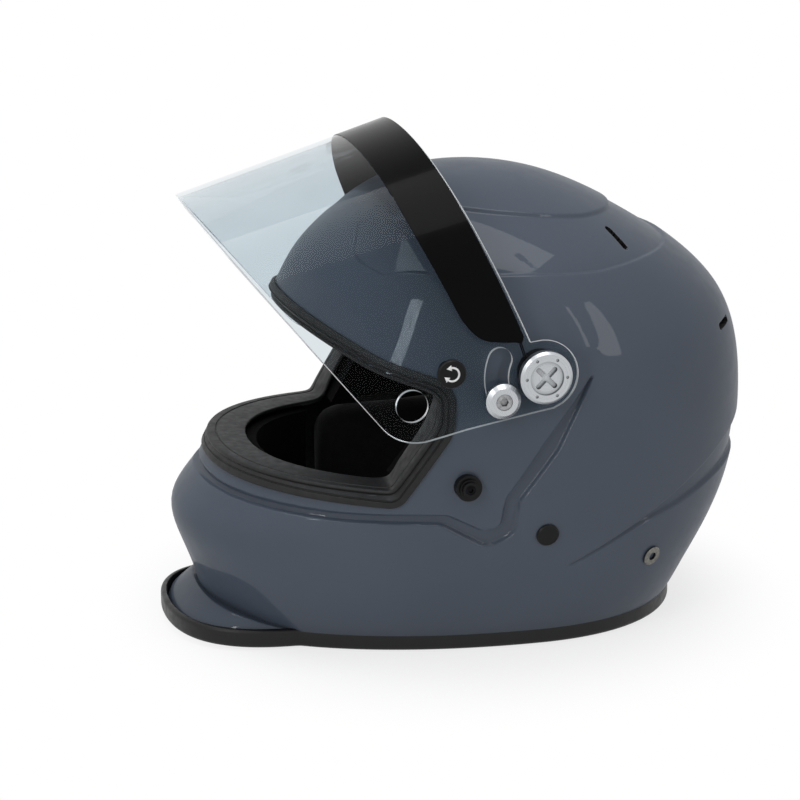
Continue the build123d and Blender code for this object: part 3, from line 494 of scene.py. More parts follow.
def auto_smooth(piece, degrees):
    """Keep edges sharper than an angle crisp."""
    mesh = piece.data
    bm = bmesh.new()
    bm.from_mesh(mesh)
    for edge in bm.edges:
        if len(edge.link_faces) == 2 and edge.calc_face_angle(0) > radians(degrees):
            edge.smooth = False
    bm.to_mesh(mesh)
    bm.free()
    return piece


def finish_piece(piece, body, slot, *nodes):
    """Say what a piece stands for and what it rides on; its material slot is not used."""
    if nodes:
        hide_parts(*nodes)
    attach(piece, body)
    return piece


# Materials


def linear(colour):
    """An sRGB hex colour as linear red, green, blue and alpha."""
    parts = [int(colour[i:i + 2], 16) / 255 for i in (1, 3, 5)]
    return [c / 12.92 if c <= 0.04045 else ((c + 0.055) / 1.055) ** 2.4 for c in parts] + [1.0]


def node(tree, kind, inputs=None, **settings):
    """Add a node, set it up, and give its inputs their values or links."""
    made = tree.nodes.new(kind)
    for key, value in settings.items():
        setattr(made, key, value)
    for key, value in (inputs or {}).items():
        if isinstance(value, bpy.types.Node):
            value = value.outputs[0]
        if isinstance(value, bpy.types.NodeSocket):
            tree.links.new(value, made.inputs[key])
        else:
            made.inputs[key].default_value = value
    return made


def lighter(colour, gain=1.15):
    """A colour and the same colour a little lighter."""
    colour = list(colour)
    return colour, [min(c * gain, 1.0) for c in colour[:3]] + [1.0]


def drift(tree, size_mm, detail=3.0):
    """A share from 0 to 1 that wanders over patches of a size."""
    patches = node(tree, "ShaderNodeTexNoise", {
        "Vector": node(tree, "ShaderNodeTexCoord").outputs["Object"],
        "Scale": 1 / (size_mm * MM), "Detail": detail})
    return node(tree, "ShaderNodeMapRange", {"Value": patches, "From Min": 0.3, "From Max": 0.7})


def finish(name, pattern, colours, rough, depth_mm, strength, grain="Normal", **values):
    """A finish whose colour and roughness run between two values, over a raised grain.

    The pattern takes the node tree and gives the shares for colour, roughness and grain.
    """
    material = bpy.data.materials.new(name)
    material.use_nodes = True
    tree = material.node_tree
    tint, gloss, relief = pattern(tree)
    colour = node(tree, "ShaderNodeMix", {"Factor": tint, "A": colours[0], "B": colours[1]},
                  data_type="RGBA")
    links = {
        "Base Color": colour.outputs["Result"],
        "Roughness": node(tree, "ShaderNodeMapRange", {
            "Value": gloss, "To Min": rough[0], "To Max": rough[1]}).outputs[0],
        grain: node(tree, "ShaderNodeBump", {
            "Height": relief, "Strength": strength, "Distance": depth_mm * MM}).outputs[0],
    }
    shader = tree.nodes["Principled BSDF"]
    for key, socket in links.items():
        tree.links.new(socket, shader.inputs[key])
    for key, value in values.items():
        shader.inputs[key.replace("_", " ")].default_value = value
    return material


def patches(tint_mm, gloss_mm, grain_mm):
    """A pattern of three drifts of their own sizes."""
    return lambda tree: (drift(tree, tint_mm), drift(tree, gloss_mm), drift(tree, grain_mm))


# Sprayed colour under a clear coat: sharp reflections with the faint ripple of sprayed lacquer
def paint():
    return finish("slate grey paint, sprayed and clear coated", patches(60, 9, 2.6),
                  lighter(settings().paint_colour, 1.06), (0.42, 0.5), 0.05, 0.05,
                  "Coat Normal", Specular_IOR_Level=0.04, Coat_Weight=0.14,
                  Coat_Roughness=0.035, Coat_IOR=2.0)


# Extruded rubber: dark, with a satin sheen that breaks up along the bead
def trim_rubber():
    return finish("black rubber trim, extruded", patches(14, 5, 1.2),
                  lighter(settings().rubber_colour, 1.6), (0.36, 0.5), 0.1, 0.15,
                  Specular_IOR_Level=0.3)


# Moulded rubber: matt, so its steps read as soft grey lines
def seal_rubber():
    return finish("black rubber seal, moulded matt", patches(14, 5, 0.8),
                  lighter(settings().rubber_colour, 1.8), (0.5, 0.66), 0.12, 0.2,
                  Specular_IOR_Level=0.35)


# Moulded nylon: near black with a fine spark texture and a weak gloss
def nylon():
    return finish("black nylon, injection moulded", patches(6, 3, 0.5),
                  (linear("#070708"), linear("#0c0c0d")), (0.3, 0.42), 0.03, 0.2,
                  Specular_IOR_Level=0.18)


# Painted shade in the vents: matt and deep black faces in each slot stand in for the shade inside
# an open vent, so a slot reads as a hole
def vent_slot_shade():
    return finish("matt deep black painted shade in the vent slots", patches(6, 3, 0.6),
                  (linear("#030303"), linear("#050505")), (0.7, 0.8), 0.05, 0.2,
                  Specular_IOR_Level=0.08)


# Printing ink: flat white with a little tooth
def ink():
    return finish("white pad printing ink", patches(6, 3, 0.4),
                  (linear("#e9e9e9"), linear("#f4f4f4")), (0.42, 0.5), 0.02, 0.2)


def rings(centre, pitch_mm):
    """A pattern of fine rings round a sideways axis through a place."""
    def pattern(tree):
        where = node(tree, "ShaderNodeTexCoord").outputs["Object"]
        flat = node(tree, "ShaderNodeVectorMath", {
            0: where, 1: (centre[0] * MM, 0.0, centre[1] * MM)}, operation="SUBTRACT")
        flat = node(tree, "ShaderNodeVectorMath", {0: flat, 1: (1.0, 0.0, 1.0)},
                    operation="MULTIPLY")
        radius = node(tree, "ShaderNodeVectorMath", {0: flat}, operation="LENGTH")
        line = node(tree, "ShaderNodeCombineXYZ", {"X": radius.outputs["Value"]})
        share = node(tree, "ShaderNodeTexNoise", {
            "Vector": line, "Scale": 1 / (pitch_mm * MM), "Detail": 2.0})
        return share, share, share
    return pattern


def shade_recesses(material, reach_mm):
    """Paint shade into a metal's colour where its own corners and recesses close it off from the
    room.
    """
    tree = material.node_tree
    socket = tree.nodes["Principled BSDF"].inputs["Base Color"]
    shade = node(tree, "ShaderNodeAmbientOcclusion", {
        "Color": socket.links[0].from_socket, "Distance": reach_mm * MM}, samples=6)
    tree.links.new(shade.outputs["Color"], socket)
    return material


# Turned aluminium, blasted after: pale, with faint rings that spread the reflections, and painted
# shade in its recesses
def cap_aluminium():
    return shade_recesses(finish(
        "aluminium, turned and bead blasted", rings((PIVOT_X, PIVOT_Z), 0.4),
        (linear("#a3a6aa"), linear("#cccfd2")), (0.2, 0.36), 0.02, 0.3, Metallic=1.0), 3.0)


# Turned stainless steel: brighter and sharper than the aluminium, with painted shade in its
# recesses
def steel():
    return shade_recesses(finish(
        "stainless steel, turned", patches(2.0, 1.2, 0.4),
        (linear("#7f8082"), linear("#a9aaac")), (0.2, 0.33), 0.02, 0.2, Metallic=1.0), 3.0)


# The inserts' steel has dulled: darker and softer than the rings, with painted shade in its
# recesses
def insert_steel():
    return shade_recesses(finish(
        "stainless steel insert, tumbled", patches(2.0, 1.2, 0.4),
        (linear("#55534f"), linear("#7b7975")), (0.3, 0.45), 0.02, 0.3, Metallic=1.0), 3.0)


# Black oxide on rolled steel screws: dark metal that still catches a light
def black_oxide():
    return finish("black oxide steel, rolled", patches(2.0, 1.2, 0.4),
                  (linear("#101011"), linear("#1c1c1e")), (0.35, 0.48), 0.02, 0.2, Metallic=1.0)


# Bead foam: shallow pits between the beads, which are a few millimetres across
def foam():
    def beads(tree):
        cells = node(tree, "ShaderNodeTexVoronoi", {
            "Vector": node(tree, "ShaderNodeTexCoord").outputs["Object"],
            "Scale": 1 / (3.4 * MM)}, feature="DISTANCE_TO_EDGE")
        return cells, cells, cells
    return finish("black bead foam, steam moulded", beads,
                  (linear("#040405"), linear("#090909")), (0.9, 0.85), 0.4, 0.6,
                  Specular_IOR_Level=0.05)


# Brushed knit: loops drawn a little coarser than real, so that they show, under a soft sheen
def cloth():
    def loops(tree):
        where = node(tree, "ShaderNodeTexCoord").outputs["Object"]
        knit = node(tree, "ShaderNodeTexVoronoi", {"Vector": where, "Scale": 1 / (0.9 * MM)})
        return drift(tree, 7, 4), drift(tree, 5), knit
    return finish("black knitted polyester, brushed", loops,
                  lighter(settings().cloth_colour, 2.2), (0.9, 1.0), 0.25, 0.6,
                  Specular_IOR_Level=0.1, Sheen_Weight=0.2, Sheen_Roughness=0.5)


# Plain woven nylon: ribs across the tape and yarns along it
def webbing():
    def weave(tree):
        where = node(tree, "ShaderNodeTexCoord").outputs["Object"]
        ribs, yarns = (node(tree, "ShaderNodeTexWave", {
            "Vector": where, "Scale": 1 / (20 * pitch * MM)}, bands_direction=way)
            for way, pitch in (("Z", 1.3), ("X", 1.6)))
        share = node(tree, "ShaderNodeMath", {0: ribs.outputs["Fac"], 1: yarns.outputs["Fac"]},
                     operation="MULTIPLY")
        return share, share, share
    return finish("black nylon webbing, plain woven", weave,
                  (linear("#0b0b0c"), linear("#1c1d1f")), (0.75, 0.65), 0.3, 0.8,
                  Sheen_Weight=0.2)


# Unpainted laminate inside the shell: a dull grey weave of tows
def composite():
    def tows(tree):
        share = node(tree, "ShaderNodeTexChecker", {
            "Vector": node(tree, "ShaderNodeTexCoord").outputs["Object"],
            "Scale": 1 / (3.0 * MM)}).outputs["Fac"]
        return share, drift(tree, 8), drift(tree, 2)
    return finish("grey composite laminate, unpainted inside", tows,
                  (linear("#1b1c1e"), linear("#232427")), (0.5, 0.65), 0.2, 0.3)


# Gloss black film: a deep black that mirrors only the lights
def film():
    return finish("black polyester film, gloss", patches(30, 12, 12),
                  lighter(settings().film_colour, 1.4), (0.14, 0.2), 0.05, 0.05,
                  Specular_IOR_Level=0.03, Coat_Weight=0.04, Coat_Roughness=0.04)


# The sheet's cut edge: light gathers in it, so it is brighter than the faces. Its pale colour and
# faint emission are a painted glow that stands in for that light
def clear_edge_glow():
    return finish("clear polycarbonate edge, cut and polished", patches(5, 5, 5),
                  (linear("#dfe6ea"), linear("#f4f7f8")), (0.1, 0.14), 0.01, 0.1,
                  Transmission_Weight=0.55, IOR=1.58, Specular_IOR_Level=0.7,
                  Emission_Color=linear("#ffffff"), Emission_Strength=0.12)


# Clear sheet: a faint smoke tint, and reflections that grow towards a glancing angle.
# Only its outward faces reflect, because a thin sheet has no mirror inside it.
def clear_sheet():
    material = bpy.data.materials.new("clear polycarbonate, injection moulded")
    material.use_nodes = True
    tree = material.node_tree
    tree.nodes.remove(tree.nodes["Principled BSDF"])
    low, high = lighter(settings().shield_tint, 1.02)
    tint = node(tree, "ShaderNodeMix", {"Factor": drift(tree, 40), "A": low, "B": high},
                data_type="RGBA")
    through = node(tree, "ShaderNodeBsdfTransparent", {"Color": tint.outputs["Result"]})
    shine = node(tree, "ShaderNodeBsdfGlossy", {"Color": linear("#ffffff"), "Roughness": 0.015})
    outward = node(tree, "ShaderNodeMath", {
        0: 1.0, 1: node(tree, "ShaderNodeNewGeometry").outputs["Backfacing"]},
        operation="SUBTRACT")
    rise = node(tree, "ShaderNodeMath", {
        0: node(tree, "ShaderNodeFresnel", {"IOR": 1.5}), 1: 0.036}, operation="SUBTRACT",
        use_clamp=True)
    glance = node(tree, "ShaderNodeMath", {0: rise, 1: outward}, operation="MULTIPLY")
    mix = node(tree, "ShaderNodeMixShader", {0: glance, 1: through, 2: shine})
    tree.links.new(mix.outputs[0], tree.nodes["Material Output"].inputs["Surface"])
    return material


def seen_rays(tree):
    """1 for the rays that show the background: straight, mirrored or through glass."""
    path = node(tree, "ShaderNodeLightPath")
    some = node(tree, "ShaderNodeMath", {
        0: path.outputs["Is Camera Ray"], 1: path.outputs["Is Glossy Ray"]}, operation="ADD")
    return node(tree, "ShaderNodeMath", {0: some, 1: path.outputs["Is Transmission Ray"]},
                operation="ADD", use_clamp=True)


# White paper that fades to a white background away from the helmet and keeps its shadow near it
def floor_paper():
    material = finish("white studio paper, matt rolled", patches(300, 300, 1.5),
                      (linear("#f4f4f4"), linear("#f8f8f8")), (0.85, 0.9), 0.05, 0.03,
                      Specular_IOR_Level=0.1)
    tree = material.node_tree
    away = node(tree, "ShaderNodeVectorMath", {
        0: node(tree, "ShaderNodeTexCoord").outputs["Object"]}, operation="LENGTH")
    fade = node(tree, "ShaderNodeMapRange", {
        "Value": away.outputs["Value"], "From Min": FADE_FROM, "From Max": FADE_TO,
        "To Min": FADE_NEAR, "To Max": 1.0}, interpolation_type="SMOOTHSTEP")
    share = node(tree, "ShaderNodeMath", {0: seen_rays(tree), 1: fade}, operation="MULTIPLY")
    glow = node(tree, "ShaderNodeEmission", {"Color": linear("#ffffff"), "Strength": 1.0})
    mix = node(tree, "ShaderNodeMixShader", {
        0: share, 1: tree.nodes["Principled BSDF"], 2: glow})
    tree.links.new(mix.outputs[0], tree.nodes["Material Output"].inputs["Surface"])
    return material


MATERIALS = {}


def make_materials():
    """Every material of the object, once."""
    MATERIALS.update(
        paint=paint(), foam=foam(), cloth=cloth(), webbing=webbing(), clear=clear_sheet(),
        edge=clear_edge_glow(), film=film(), composite=composite(), trim=trim_rubber(),
        seal=seal_rubber(), nylon=nylon(), vent=vent_slot_shade(), cap=cap_aluminium(),
        steel=steel(), insert=insert_steel(), screw=black_oxide(), ink=ink())


def both(*names):
    """The names of pieces that come as a left and a right one."""
    return [f"{name}_{hand}" for name in names for hand in HANDS]


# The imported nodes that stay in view, by their material
CAD_FINISHES = {
    "cap": both("pivot_cap", "stop_post"),
    "steel": ["stop_post_screws", "strap_rivets", "d_ring_outer", "d_ring_inner"],
    "insert": both("anchor_insert"),
    "screw": ["latch_post_screws"],
    "foam": ["impact_liner", "chin_bar_liner"],
    "nylon": [*both("pivot_base", "latch_post", "side_plug", "tear_off_post"), "tear_off_nuts",
              "strap_snap"],
}


# Shell


ROWS, COLUMNS, FINE = 112, 288, 4
SKIN_LOW, SHELL_WALL = 5.0, 4.0  # the skin's lower edge, hidden in the bead, and the wall
FINE_EDGE, FINE_VENT = 4.2, 3.0  # how near a groove's edge or a vent the grid is fine
UNDER_SEAL, UNDER_LIP, UNDER_LIP_HALF = 5.0, 5.0, 46.0  # where the seal or the lip hides the skin


def build_shell(body):
    """The painted outer skin: a coarse grid, four times finer beside every groove and edge."""
    t_low = t_at(SKIN_LOW)
    last = ROWS * FINE

    def places(lattice):
        u = lattice[:, 0] / (COLUMNS * FINE)
        t = t_low + (T_END - t_low) * lattice[:, 1] / last
        return skin_and_normal(u, np.minimum(t, T_END - 1e-6))

    i, j = np.meshgrid(np.arange(COLUMNS), np.arange(ROWS), indexing="ij")
    middle = np.stack([i.ravel() * FINE + FINE / 2, j.ravel() * FINE + FINE / 2], 1)
    p, n = places(middle)
    _, near, vent = carved(p, n)
    port, _ = signed(p[:, [0, 2]], outline(EYEPORT))
    in_lip = ((p[:, 0] < -LIP_CENTRE) & (np.abs(p[:, 1]) < UNDER_LIP_HALF)
              & (p[:, 2] < ledge_height(p[:, 0]) - UNDER_LIP))
    gone = ((port < -UNDER_SEAL) | in_lip).reshape(COLUMNS, ROWS)
    fine = ((near < FINE_EDGE) | (vent < FINE_VENT)).reshape(COLUMNS, ROWS) & ~gone
    index, lattice = {}, []

    def vertex(a, b):
        key = (a % (COLUMNS * FINE), b)
        if b == last:
            key = (0, b)
        if key not in index:
            index[key] = len(lattice)
            lattice.append(key)
        return index[key]

    def is_fine(a, b):
        return 0 <= b < ROWS and fine[a % COLUMNS, b]

    def edge(a0, b0, a1, b1, split):
        steps = FINE if split else 1
        return [vertex(a0 + (a1 - a0) * k // steps, b0 + (b1 - b0) * k // steps)
                for k in range(steps)]

    faces = []
    for a in range(COLUMNS):
        for b in range(ROWS):
            if gone[a, b]:
                continue
            a0, b0 = a * FINE, b * FINE
            if fine[a, b]:
                faces += [[vertex(c, d), vertex(c + 1, d), vertex(c + 1, d + 1), vertex(c, d + 1)]
                          for c in range(a0, a0 + FINE) for d in range(b0, b0 + FINE)]
                continue
            a1, b1 = a0 + FINE, b0 + FINE
            faces.append(edge(a0, b0, a1, b0, is_fine(a, b - 1))
                         + edge(a1, b0, a1, b1, is_fine(a + 1, b))
                         + edge(a1, b1, a0, b1, is_fine(a, b + 1))
                         + edge(a0, b1, a0, b0, is_fine(a - 1, b)))
    faces = [[v for k, v in enumerate(f) if v != f[k - 1]][::-1] for f in faces]
    p, n = places(np.array(lattice, float))
    top = np.array([b == last for _, b in lattice])
    moved, _, vent = carved(p, n)
    moved[top] = p[top]
    faces = [f for f in faces if len(f) > 2]
    # Faces inside a vent's slot take the painted shade: deep black, so the slot reads as a hole
    dark = [int(np.mean(vent[f]) < -0.01) for f in faces]
    points = list(moved)
    add_lip(points, faces, dark)
    piece = make_mesh("shell_skin", points, faces, [MATERIALS["paint"], MATERIALS["vent"]], dark)
    finish_piece(piece, body, "shell_paint", "outer_shell")
    inner = offset_grid("shell_inside", -SHELL_WALL, SKIN_LOW, 150, 56, MATERIALS["composite"],
                        1.0)
    finish_piece(inner, body, "shell_paint", "outer_shell")


def ledge_height(x):
    """Height of the lip's ledge at places along the helmet."""
    (x0, z0), (x1, z1) = [(a * FRONT_REACH, b * LIP_HEIGHT) for a, b in LEDGE]
    return z0 + (x - x0) * (z1 - z0) / (x1 - x0)


def lip_plan(s, z):
    """A place on the lip's side: s runs 0 to 2 from its left side, by the front, to the right,
    and past either end it runs back into the lip's tail."""
    reach = np.interp(z / LIP_HEIGHT, LIP[:, 0], LIP[:, 1]) * LIP_REACH
    width = np.interp(z / LIP_HEIGHT, LIP[:, 0], LIP[:, 2]) * LIP_HALF_WIDTH
    part = np.where(s > 1, 2 - s, s)
    x, y = quarter(np.clip(part, 0, 1), -reach, width, LIP_FULLNESS)
    back_x, back_y = quarter(np.clip(-part, 0, 1), LIP_TAIL, width, LIP_TAIL_FULLNESS)
    x, y = np.where(part < 0, back_x, x), np.where(part < 0, back_y, y)
    return np.stack([-LIP_CENTRE + x, np.where(s > 1, y, -y), z + 0 * x], 1)


def add_lip(points, faces, slots, columns=206):
    """The flared lip: up its side to the ridge, over it, and back along the ledge."""
    start = len(points)
    s = np.linspace(-LIP_TURN, 2.0 + LIP_TURN, columns)
    ridge = np.full(columns, 20.0)
    for _ in range(40):
        at = lip_plan(s, ridge)
        ridge = 0.5 * ridge + 0.5 * np.clip(ledge_height(at[:, 0]), LEDGE_LOW, RIDGE_TOP)
    lines = [lip_plan(s, LIP_LOW + (ridge - LIP_LOW) * k) for k in np.linspace(0, 1, 14) ** 0.8]
    top = lines[-1]
    middle = np.array([LEDGE_MIDDLE, 0.0])
    # The ledge runs in until it is through the chin's wall
    reach = np.full(columns, 0.5)
    for k in np.linspace(0.5, 0.02, 97):
        x, y = (top[:, :2] + (middle - top[:, :2]) * k).T
        wide, on = skin_y(x, np.maximum(ledge_height(x), LEDGE_LOW))
        reach = np.where(on & (np.abs(y) < wide - SHELL_WALL), k, reach)
    for k in np.linspace(0.03, 1.0, 22) ** 1.15:
        flat = top[:, :2] + (middle - top[:, :2]) * (reach * k)[:, None]
        lines.append(np.column_stack([flat, np.maximum(ledge_height(flat[:, 0]), LEDGE_LOW)]))
    lines = np.array(lines)
    for _ in range(2):
        smooth = lines.copy()
        for r in range(9, 20):
            smooth[r] = (lines[r - 1] + 2 * lines[r] + lines[r + 1]) / 4
        lines = smooth
    points.extend(lines.reshape(-1, 3))
    for r in range(len(lines) - 1):
        for a in range(start + r * columns, start + (r + 1) * columns - 1):
            faces.append([a, a + columns, a + columns + 1, a + 1])
            slots.append(0)


def offset_grid(name, out, z_low, columns, rows, material, edge, wave=None):
    """A plain grid that follows the form at a distance, open to a line inside the eyeport."""
    t0, t1 = t_at(z_low), T_END - 1e-6
    u, t = np.meshgrid(np.arange(columns) / columns, np.linspace(t0, t1, rows), indexing="ij")
    p, n = skin_and_normal(u.ravel(), t.ravel())
    places = p + n * out
    if wave is not None:
        places = places + n * wave(p)[:, None]
    port, g = signed(p[:, [0, 2]], outline(EYEPORT))
    stay = port > -edge
    faces, border = [], set()
    for a in range(columns):
        for b in range(rows - 1):
            c = (a + 1) % columns
            f = (a * rows + b, c * rows + b, c * rows + b + 1, a * rows + b + 1)
            if all(stay[v] for v in f):
                faces.append(f)
            else:
                border.update(v for v in f if stay[v])
    # The cells' stepped border is drawn to the eyeport's own line
    rim = np.array(sorted(v for v in border if port[v] < 8.0), int)
    side = np.column_stack([g[rim, 0], np.zeros(len(rim)), g[rim, 1]])
    lean = np.einsum("ij,ij->i", side, n[rim])[:, None]
    flat = (side - n[rim] * lean) / np.maximum(1 - lean**2, 0.2)
    places[rim] += flat * (-edge - port[rim])[:, None]
    used = sorted({v for f in faces for v in f})
    new = {v: k for k, v in enumerate(used)}
    return make_mesh(name, places[used], [[new[v] for v in f] for f in faces], [material])


# Trim and seal


# Seen from a place inside the rim, in radians: where the lip starts, and where it leaves the form
RIM_MIDDLE, LIP_START, LIP_KINK, KINK_HALF = -60.0, 1.7, 2.28, 0.35


def rim_loop(z, count=420):
    """The outline of the form and the lip together at a height, evenly spaced."""
    angles = np.linspace(-pi, pi, 2400, endpoint=False)
    centre = np.array([RIM_MIDDLE, 0.0])
    rays = []
    u = np.linspace(0, 1, 3000, endpoint=False)
    form = skin(u, np.full(len(u), t_at(z)))[:, :2]
    lip = lip_plan(np.linspace(-0.8, 2.8, 2400), np.full(2400, z))[:, :2]
    for ring in (form, lip):
        away = ring - centre
        a = np.arctan2(away[:, 1], away[:, 0])
        order = np.argsort(a)
        rays.append(np.interp(angles, a[order], np.hypot(*away[order].T), period=2 * pi))
    reach = np.maximum(rays[0], np.where(np.abs(angles) > LIP_START, rays[1], 0))
    kink = np.abs(np.abs(angles) - LIP_KINK) < KINK_HALF
    reach = np.where(kink, blur(reach, 19), reach)
    return evenly(centre + np.stack([np.cos(angles), np.sin(angles)], 1) * reach[:, None], count)


def lift(x):
    """How far the rim is off the ground at places along the helmet."""
    back, front = -FRONT_REACH * RIM_LIFT_FROM, -FRONT_REACH - RIM_LIFT_PAST
    return np.clip((back - x) / (back - front), 0, None) * RIM_LIFT


def build_trim(body):
    """The rubber bead pushed over the lower edge."""
    ring = rim_loop(SKIN_LOW)
    ahead = np.roll(ring, -1, 0) - np.roll(ring, 1, 0)
    out = unit(np.stack([ahead[:, 1], -ahead[:, 0]], 1))
    section = rounded(*BEAD)
    sections = [np.array([(x + n[0] * a, y + n[1] * a, rise + b) for a, b in section])
                for (x, y), n, rise in zip(ring, out, lift(ring[:, 0]))]
    piece = tube("trim_bead", sections, [MATERIALS["trim"]], ring=True)
    finish_piece(piece, body, "trim_rubber", "bottom_trim")


def eyeport_loop():
    """Places on the skin round the eyeport's outline: lower front, back, upper front, mirrored."""
    ring = outline(EYEPORT)
    ring = ring[ring[:, 0] > -189]
    start = np.argmin(ring[:, 0] + 1e3 * (ring[:, 1] > 140))
    line = np.roll(ring, -start, 0)
    if line[1, 0] < line[-1, 0]:
        line = np.roll(line[::-1], 1, 0)
    dense = []
    for a, b in zip(line, line[1:]):
        steps = max(int(np.linalg.norm(b - a) / 1.0), 1)
        dense.extend(a + (b - a) * k / steps for k in range(steps))
    dense = np.array(dense)
    split, halfway = -78.0, 130
    low, high = (half[np.argsort(half[:, 0])]
                 for half in (dense[dense[:, 1] < halfway], dense[dense[:, 1] >= halfway]))

    def quarter_at(s, z):
        rows = CURVE(t_at(z))
        x, y = quarter(s, -rows[:, 1] - rows[:, 4], rows[:, 3], rows[:, 5])
        return rows[:, 4] + x, -y

    def front(branch):
        s = np.linspace(1, 0, 260)
        z = np.full(len(s), np.interp(-100, branch[:, 0], branch[:, 1]))
        for _ in range(30):
            z = 0.5 * z + 0.5 * np.interp(quarter_at(s, z)[0], branch[:, 0], branch[:, 1])
        places = np.stack([*quarter_at(s, z), z], 1)
        return places[places[:, 0] < split]

    back = dense[dense[:, 0] >= split]
    back = np.stack([back[:, 0], -skin_y(back[:, 0], back[:, 1])[0], back[:, 1]], 1)
    left = np.concatenate([front(low), back, front(high)[::-1]])
    return evenly(np.concatenate([left, left[-2:0:-1] * MIRROR]), 560)


def build_seal(body):
    """The eyeport's rubber: a flange on the skin, and a web that runs inwards as a flat sill."""
    loop = eyeport_loop()
    u = np.array([left_u(x, z) for x, _, z in loop])
    u = np.where(loop[:, 1] > 0, 1 - u, u)
    _, n = skin_and_normal(u, t_at(loop[:, 2]))
    ring, seen = outline(EYEPORT), loop[:, [0, 2]]
    _, away = signed(seen, ring)
    _, away = signed(seen + unit(blur(away, 8)) * 6.0, ring)  # off the line the direction is sure
    away, n = blur(away, 3), unit(blur(n, 4))
    inward = -unit(np.column_stack([away[:, 0], np.zeros(len(loop)), away[:, 1]]))
    over, deep = square_to(inward, n), -square_to(n, inward)
    rows = [loop + over * x + n * y for x, y in rounded(*FLANGE)[:-1]]
    for x, y in rounded(*WEB):  # the deeper a row lies, the rounder its corners are
        reach = 7 + int(max(y - 8, 0) / 2)
        rows.append(blur(blur(loop + inward * x + deep * y, reach), reach))
    piece = tube("eyeport_seal", np.stack(rows, 1), [MATERIALS["seal"]], ring=True)
    finish_piece(auto_smooth(piece, 50), body, "seal_rubber", "eyeport_gasket")


# Shield


def raised(g, h):
    """From along and up the raised shield to the helmet's side view."""
    c, s = cos(SHIELD_RISE), sin(SHIELD_RISE)
    return PIVOT_X + g * c - h * s, PIVOT_Z + g * s + h * c


def arch_points(count, low, grow):
    """Places along half of an offset section from low up to the crown, closer at the start, and
    their heights on the section itself."""
    up, y = quarter(np.linspace(0, 1, 1500), SHIELD_CROWN, SHIELD_HALF, SHIELD_FULLNESS)
    y, up = np.concatenate([[SHIELD_HALF], y]), np.concatenate([[low], up])
    run = run_along(np.stack([y, up], 1))
    x = np.linspace(0, 1, count)
    at = run[-1] * (x * 0.55 + 0.45 * x**1.6)
    y, up = np.interp(at, run, y), np.interp(at, run, up)
    dy, dh = np.gradient(y), np.gradient(up)
    size = np.hypot(dy, dh)
    ny, nh = dh / size, -dy / size
    return y + ny * grow, up + nh * grow, up


def span(ring, h, ear):
    """The near and far edges of a side outline at heights, with the ear's circle."""
    low, high = np.full(len(h), 1e9), np.full(len(h), -1e9)
    for a, b in zip(ring, np.roll(ring, -1, 0)):
        if abs(a[1] - b[1]) < 1e-9:
            continue
        t = (h - a[1]) / (b[1] - a[1])
        g = a[0] + (b[0] - a[0]) * t
        on = (t >= 0) & (t <= 1)
        low, high = np.where(on, np.minimum(low, g), low), np.where(on, np.maximum(high, g), high)
    if ear:
        inside = np.abs(h) < EAR_RADIUS
        r = np.sqrt(np.maximum(EAR_RADIUS**2 - h**2, 0))
        high = np.where(inside, np.maximum(high, r), high)
        low = np.where(inside, np.minimum(low, -r), low)
    return low, high


def wrapped_sheet(name, ring, low, grow, wall, ear, materials, half_rows=150, across=22,
                  bevel=0.45):
    """A bent sheet between two offsets of the section, cut to a side outline, edges rounded."""
    inner_y, inner_h, h = arch_points(half_rows, low, grow)
    outer_y, outer_h, _ = arch_points(half_rows, low, grow + wall)
    near, far = span(ring, np.clip(h, low + 0.02, SHIELD_CROWN), ear)
    cut = np.minimum(bevel, np.maximum(far - near, 0.02) / 3)
    share = np.linspace(0, 1, across)
    sections = []
    for k, (a, b, c) in enumerate(zip(near, far, cut)):
        flat, deep = a + c + (b - a - 2 * c) * share, c / wall * 0.9
        g = np.concatenate([flat, [b, b], flat[::-1], [a, a]])
        w = np.concatenate([np.ones(across), [1 - deep, deep], np.zeros(across), [deep, 1 - deep]])
        x, z = raised(g, inner_h[k] + (outer_h[k] - inner_h[k]) * w)
        sections.append(np.stack([x, -(inner_y[k] + (outer_y[k] - inner_y[k]) * w), z], 1))
    sections += [s * MIRROR for s in sections[-2::-1]]
    rim = [across - 1 <= j < across + 2 or j > 2 * across for j in range(len(sections[0]))]
    slots = rim * (len(sections) - 1) + [1, 1]
    return auto_smooth(tube(name, sections, materials, slots, join=False), 40)


def side_cutter(name, ring, material, reach=150.0):
    """A closed block through both sides of the helmet with a side outline."""
    count = len(ring)
    points = [(x, y, z) for y in (-reach, reach) for x, z in ring]
    faces = [[k, (k + 1) % count, count + (k + 1) % count, count + k] for k in range(count)]
    faces += [list(range(count))[::-1], list(range(count, 2 * count))]
    return outwards(make_mesh(name, points, faces, [material], smooth=False), join=False)


def arc(middle, radius, angles):
    """Points round a middle, at angles."""
    return np.stack([middle[0] + radius * np.cos(angles), middle[1] + radius * np.sin(angles)], 1)


def circle(middle, radius):
    """A whole turn of points round a middle."""
    return arc(middle, radius, np.linspace(0, 2 * pi, 64, endpoint=False))


def kidney():
    """The shield's curved slot, seen from the side."""
    pivot, half = (PIVOT_X, PIVOT_Z), SLOT_WIDTH / 2
    sweep = np.radians(np.linspace(SLOT_START, SLOT_START + SLOT_SWEEP, 40))
    start, end = arc(pivot, SLOT_RADIUS, sweep[[0, -1]])
    turn = np.linspace(0, pi, 14)[1:-1]
    return np.concatenate([
        arc(pivot, SLOT_RADIUS + half, sweep), arc(end, half, sweep[-1] + turn),
        arc(pivot, SLOT_RADIUS - half, sweep[::-1]), arc(start, half, sweep[0] + pi + turn)])


